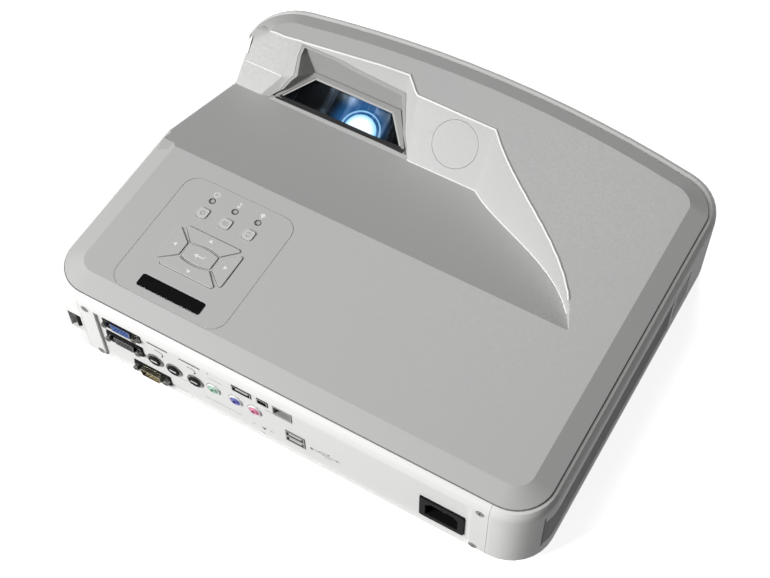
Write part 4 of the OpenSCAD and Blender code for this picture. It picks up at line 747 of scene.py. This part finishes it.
moulded_copy("round_sockets", [nylon, nickel, nylon], 0.12, angle=30, choose=ring_or_core)
key_bar, given = repeated("socket_key_bar", Width="Float", Finish="Material")
bar = add(key_bar, "GeometryNodeMeshCube", {"Size": (0.001, 0.0003, 0.0013)})
wide = add(key_bar, "ShaderNodeCombineXYZ", {0: given["Width"], 1: 1.0, 2: 1.0})
key_bars = add(key_bar, "GeometryNodeInstanceOnPoints", {"Points": given["Places"], "Instance": bar,
    "Scale": wide})
close_tree(key_bar, key_bars, given["Finish"])
grown("socket_key_bars", key_bar, [(x, -160.86, 38.6) for x in round_row],
    {"Width": 5.4, "Finish": ink_pale}, "round_sockets")
collar = [(4.3, -0.2), (4.3, 0.9), (4.8, 1.1), (5.4, 0.6), (5.6, -0.2)]
for colour, hex_code, shade, x in (("green", "#a9cdb9", "#9fc4af", -52.9),
        ("blue", "#6a6cb6", "#6063ab", -35.0), ("pink", "#dd8fae", "#d486a5", -19.7)):
    name = "jack_" + colour
    jack_abs = moulded_plastic("moulded_" + colour + "_abs", hex_code, shade, 0.4, 0.5, 0.05)
    moulded_copy(name, [jack_abs], 0.15, angle=30)
    turned_piece(name + "_collar", Vector((x, plate_y, jack_z)), front, collar, ink_pale, name)
    outline = stroke(arc((x, jack_z), 5.9, 60, 300, 30), 0.45)
    printed(name + "_outline", [outline], face, front, ink_grey, "io_plate")

# ---- Flat sockets ---------------------------------------------------------------------
# The video and data sockets are folded steel shells, bright and drawn in lines,
# round dull plastic and white tongues. The network socket is moulded in grey with
# gold contacts, and the mains inlet in black nylon with three nickel pins.
shell_steel = plated("tin_plated_steel_shell", "#b9b8b5", "#a3a29f", 0.34, 0.5, (1, 1, 0.2))
socket_grey = moulded_plastic("dark_grey_lcp", "#6c6c6d", "#606061", 0.5)
network_grey = moulded_plastic("grey_moulded_pbt", "#a3a3a2", "#969695", 0.5)
tongue_white = moulded_plastic("white_contact_tongue", "#d9d9d4", "#cfcfca", 0.4)


def rim_or_inside(corners):
    return int(max(p.y for p in corners) > plate_y - 0.5)


def oblong(x0, z0, x1, z1):
    return [(x0, z0), (x1, z0), (x1, z1), (x0, z1)]


for name, inside in (("hdmi_socket", nylon), ("mini_usb_socket", nylon), ("usb_sockets", socket_grey)):
    moulded_copy(name, [shell_steel, inside], 0.08, angle=30, choose=rim_or_inside)
moulded_copy("network_socket", [network_grey], 0.08, angle=30)
printed("video_tongue", [oblong(-33.9, 56.6, -24.1, 57.4)], Vector((0, -158.2, 0)), front, tongue_white,
    "hdmi_socket", thick=0.9, sink=0.5)
printed("data_tongues", [oblong(6.6, z, 16.4, z + 1.4) for z in (24.3, 31.0)], Vector((0, -158.6, 0)), front,
    tongue_white, "usb_sockets", thick=0.7, sink=0.5)
ridge, given = repeated("network_contact", Finish="Material")
wire = add(ridge, "GeometryNodeMeshCube", {"Size": (0.0005, 0.004, 0.0018)})
wires = add(ridge, "GeometryNodeInstanceOnPoints", {"Points": given["Places"], "Instance": wire})
close_tree(ridge, wires, given["Finish"])
grown("network_contacts", ridge, [(-1.2 + 1.2 * i, -155.0, 61.2) for i in range(8)],
    {"Finish": contact_gold}, "network_socket")
moulded_copy("power_inlet", [nylon], 0.35, angle=30)
inlet_x, inlet_z = 124, 30
inlet_pins = [(inlet_x + x, -152.5, inlet_z + z) for x, z in ((-7, 1.8), (7, 1.8), (0, -2.2))]
grown("inlet_pins", pin, inlet_pins,
    {"Radius": 0.0011, "Length": 0.007, "Finish": nickel}, "power_inlet", smooth=40)
dress(["security_bar"], nylon)

# ---- Screws ------------------------------------------------------------------------
# Pan heads with a cross recess hold the fascia; the case's own screws sit deep in the
# underside. All are zinc plated: a soft grey shine.
zinc = plated("zinc_plated_steel", "#a9a9a6", "#93938f", 0.36)
slot_long, slot_wide, slot_deep = 0.0030, 0.00055, 0.0040
pan_head, given = repeated("pan_head_screw", Head="Float", Rise="Float", Turn="Rotation", Finish="Material")
ball = add(pan_head, "GeometryNodeMeshUVSphere", {"Segments": 28, "Rings": 14, "Radius": given["Head"]})
squash = add(pan_head, "ShaderNodeCombineXYZ", {0: 1.0, 1: 1.0, 2: given["Rise"]})
squat = add(pan_head, "GeometryNodeTransform", {"Geometry": ball, "Scale": squash})
slot_a = add(pan_head, "GeometryNodeMeshCube", {"Size": (slot_long, slot_wide, slot_deep)})
slot_b = add(pan_head, "GeometryNodeMeshCube", {"Size": (slot_wide, slot_long, slot_deep)})
cross = add(pan_head, "GeometryNodeMeshBoolean", {"Mesh 2": slot_a}, operation="UNION")
pan_head.links.new(slot_b.outputs[0], cross.inputs["Mesh 2"])
lifted = add(pan_head, "GeometryNodeTransform", {"Geometry": cross, "Translation": (0, 0, 0.0025)})
cut = add(pan_head, "GeometryNodeMeshBoolean", {"Mesh 1": squat, "Mesh 2": lifted}, operation="DIFFERENCE")
heads = add(pan_head, "GeometryNodeInstanceOnPoints", {"Points": given["Places"], "Instance": cut,
    "Rotation": given["Turn"]})
close_tree(pan_head, heads, given["Finish"])
face_screws = [(x, -160.15, z) for x, z in ((-154.8, 64.5), (-151.1, 12.4), (151.3, 64.5), (148.3, 12.4))]
dress(["panel_screws"], zinc)
grown("fascia_screw_heads", pan_head, face_screws,
    {"Head": 0.0028, "Rise": 0.42, "Turn": (math.radians(90), 0, 0), "Finish": zinc}, "panel_screws",
    smooth=35)

# ---- Louvres --------------------------------------------------------------------------
# The grilles on both walls are moulded in white ABS as stacks of slanted blades
# between two rails, tied by posts; the right one turns round the front corner.
stack, given = repeated("louvre_stack", Rows="Int", Pitch="Float", Finish="Material")
rise = add(stack, "ShaderNodeCombineXYZ", {2: given["Pitch"]})
levels = add(stack, "GeometryNodeMeshLine", {"Count": given["Rows"], "Offset": rise})
blades = add(stack, "GeometryNodeInstanceOnPoints", {"Points": levels, "Instance": given["Places"]})
close_tree(stack, blades, given["Finish"])
exhaust_run = arc((159.5, -129), 30.75, -24.5, 0, 6) + [(190.25, y) for y in (*range(-100, 40, 20), 47.6)]
intake_run = [(-190.25, y) for y in range(-66, -125, -14)]
blade = [(-1.2, -1.15), (-1.2, -0.1), (1.2, 1.15), (1.2, 0.1)]
post = [(0.2, 23.2), (0.2, 57), (1.2, 57), (1.2, 23.2)]
first_blade, post_width = 26.15, 1.4
for side, run, node in (("exhaust", exhaust_run, "exhaust_grille"), ("intake", intake_run, "intake_grille")):
    points, faces = swept([(x, y, first_blade) for x, y in run], blade)
    grown(side + "_louvres", stack, points, {"Rows": 9, "Pitch": 0.0035, "Finish": white_abs}, node,
        instead=True, faces=faces)
    for label, low, high in (("foot_rail", 21.2, 23.5), ("head_rail", 56.8, 62.8)):
        rail = swept([(x, y, 0) for x, y in run], [(-1.2, low), (-1.2, high), (1.2, high), (1.2, low)])
        mesh_piece(side + "_" + label, *rail, white_abs, node)
    posts = []
    for (x, y), (x1, y1) in list(zip(run, run[1:]))[2::2]:
        ahead = Vector((x1 - x, y1 - y)).normalized() * post_width
        posts.append(swept([(x, y, 0), (x + ahead.x, y + ahead.y, 0)], post))
    mesh_piece(side + "_posts", *joined(posts), white_abs, node)

# ---- Feet --------------------------------------------------------------------------
# Each pad is black rubber with a ribbed rim for the fingers, on a steel screw with
# a dark finish that keeps a low shine.
foot_screw_steel = plated("blackened_steel", "#4a4a4c", "#3c3c3e", 0.4)
rim, given = repeated("ribbed_rim", Count="Int", Radius="Float", Finish="Material")
circle = add(rim, "GeometryNodeMeshCircle", {"Vertices": given["Count"], "Radius": given["Radius"]})
spot = add(rim, "GeometryNodeInputPosition")
outward = add(rim, "FunctionNodeAlignRotationToVector", {"Vector": spot}, axis="X")
rib = add(rim, "GeometryNodeMeshCube", {"Size": (0.0008, 0.0009, 0.0026)})
ring = add(rim, "GeometryNodeInstanceOnPoints", {"Points": circle, "Instance": rib, "Rotation": outward})
ribs = add(rim, "GeometryNodeInstanceOnPoints", {"Points": given["Places"], "Instance": ring})
close_tree(rim, ribs, given["Finish"])
sole = [(0, 0.05), (9.6, 0.05), (10.3, 0.5), (10.5, 1.0), (10.5, 3.5), (10.0, 3.95), (3.4, 3.95)]
for letter, x, y in (("a", -20, -137), ("b", -165, 117), ("c", 165, 117)):
    pad = "foot_pad_" + letter
    turned_piece(pad + "_sole", Vector((x, y, 0)), flat, sole, rubber, pad, instead=True)
    grown(pad + "_ribs", rim, [(x, y, 2.2)], {"Count": 40, "Radius": 0.01055, "Finish": rubber}, pad)
    dress(["foot_screw_" + letter], foot_screw_steel)

# ---- Inside --------------------------------------------------------------------------
# The light engine, the boards, the fans and the supply keep their CAD shapes. They are
# seen only through the window, the grilles and with the cover off.

# Cast magnesium is a dull grey, brass a warm yellow and silvered glass a clear mirror.
# Solder mask is a glossy deep green; the cage, the supply and the fans are matt.
die_cast = plated("die_cast_magnesium", "#6b6c6e", "#5b5c5f", 0.5, 1.2)
brass = plated("turned_brass", "#c9a24e", "#b58f40", 0.3)
silvered = plated("silvered_glass", "#d7dadd", "#cfd3d7", 0.06, 6.0)
lamp_cage = moulded_plastic("heat_proof_lamp_cage", "#bfae86", "#ae9d76", 0.6, 1.0, 0.1)
supply_board = moulded_plastic("phenolic_board_and_parts", "#77643a", "#6a5831", 0.6, 1.0, 0.1)
solder_mask = moulded_plastic("green_solder_mask", "#2c6a3d", "#245c34", 0.35, 0.8, 0.08, coat=0.3)
fan_black = moulded_plastic("black_fan_pbt", "#232326", "#2b2b2e", 0.5, 0.6, 0.08)
dress(["engine_housing", "mirror_bracket"], die_cast)
dress(["brass_inserts"], brass)
dress(["concave_mirror", "colour_wheel"], silvered)
dress(["lens_barrel"], barrel_black)
dress(["lens_glass"], coated_glass)
dress(["lamp_module"], lamp_cage)
dress(["power_supply"], supply_board)
dress(["key_board", "upper_board", "lower_board"], solder_mask)
dress(["exhaust_fan", "exhaust_rotor", "intake_fan", "intake_rotor", "speaker", "focus_ring"], fan_black)
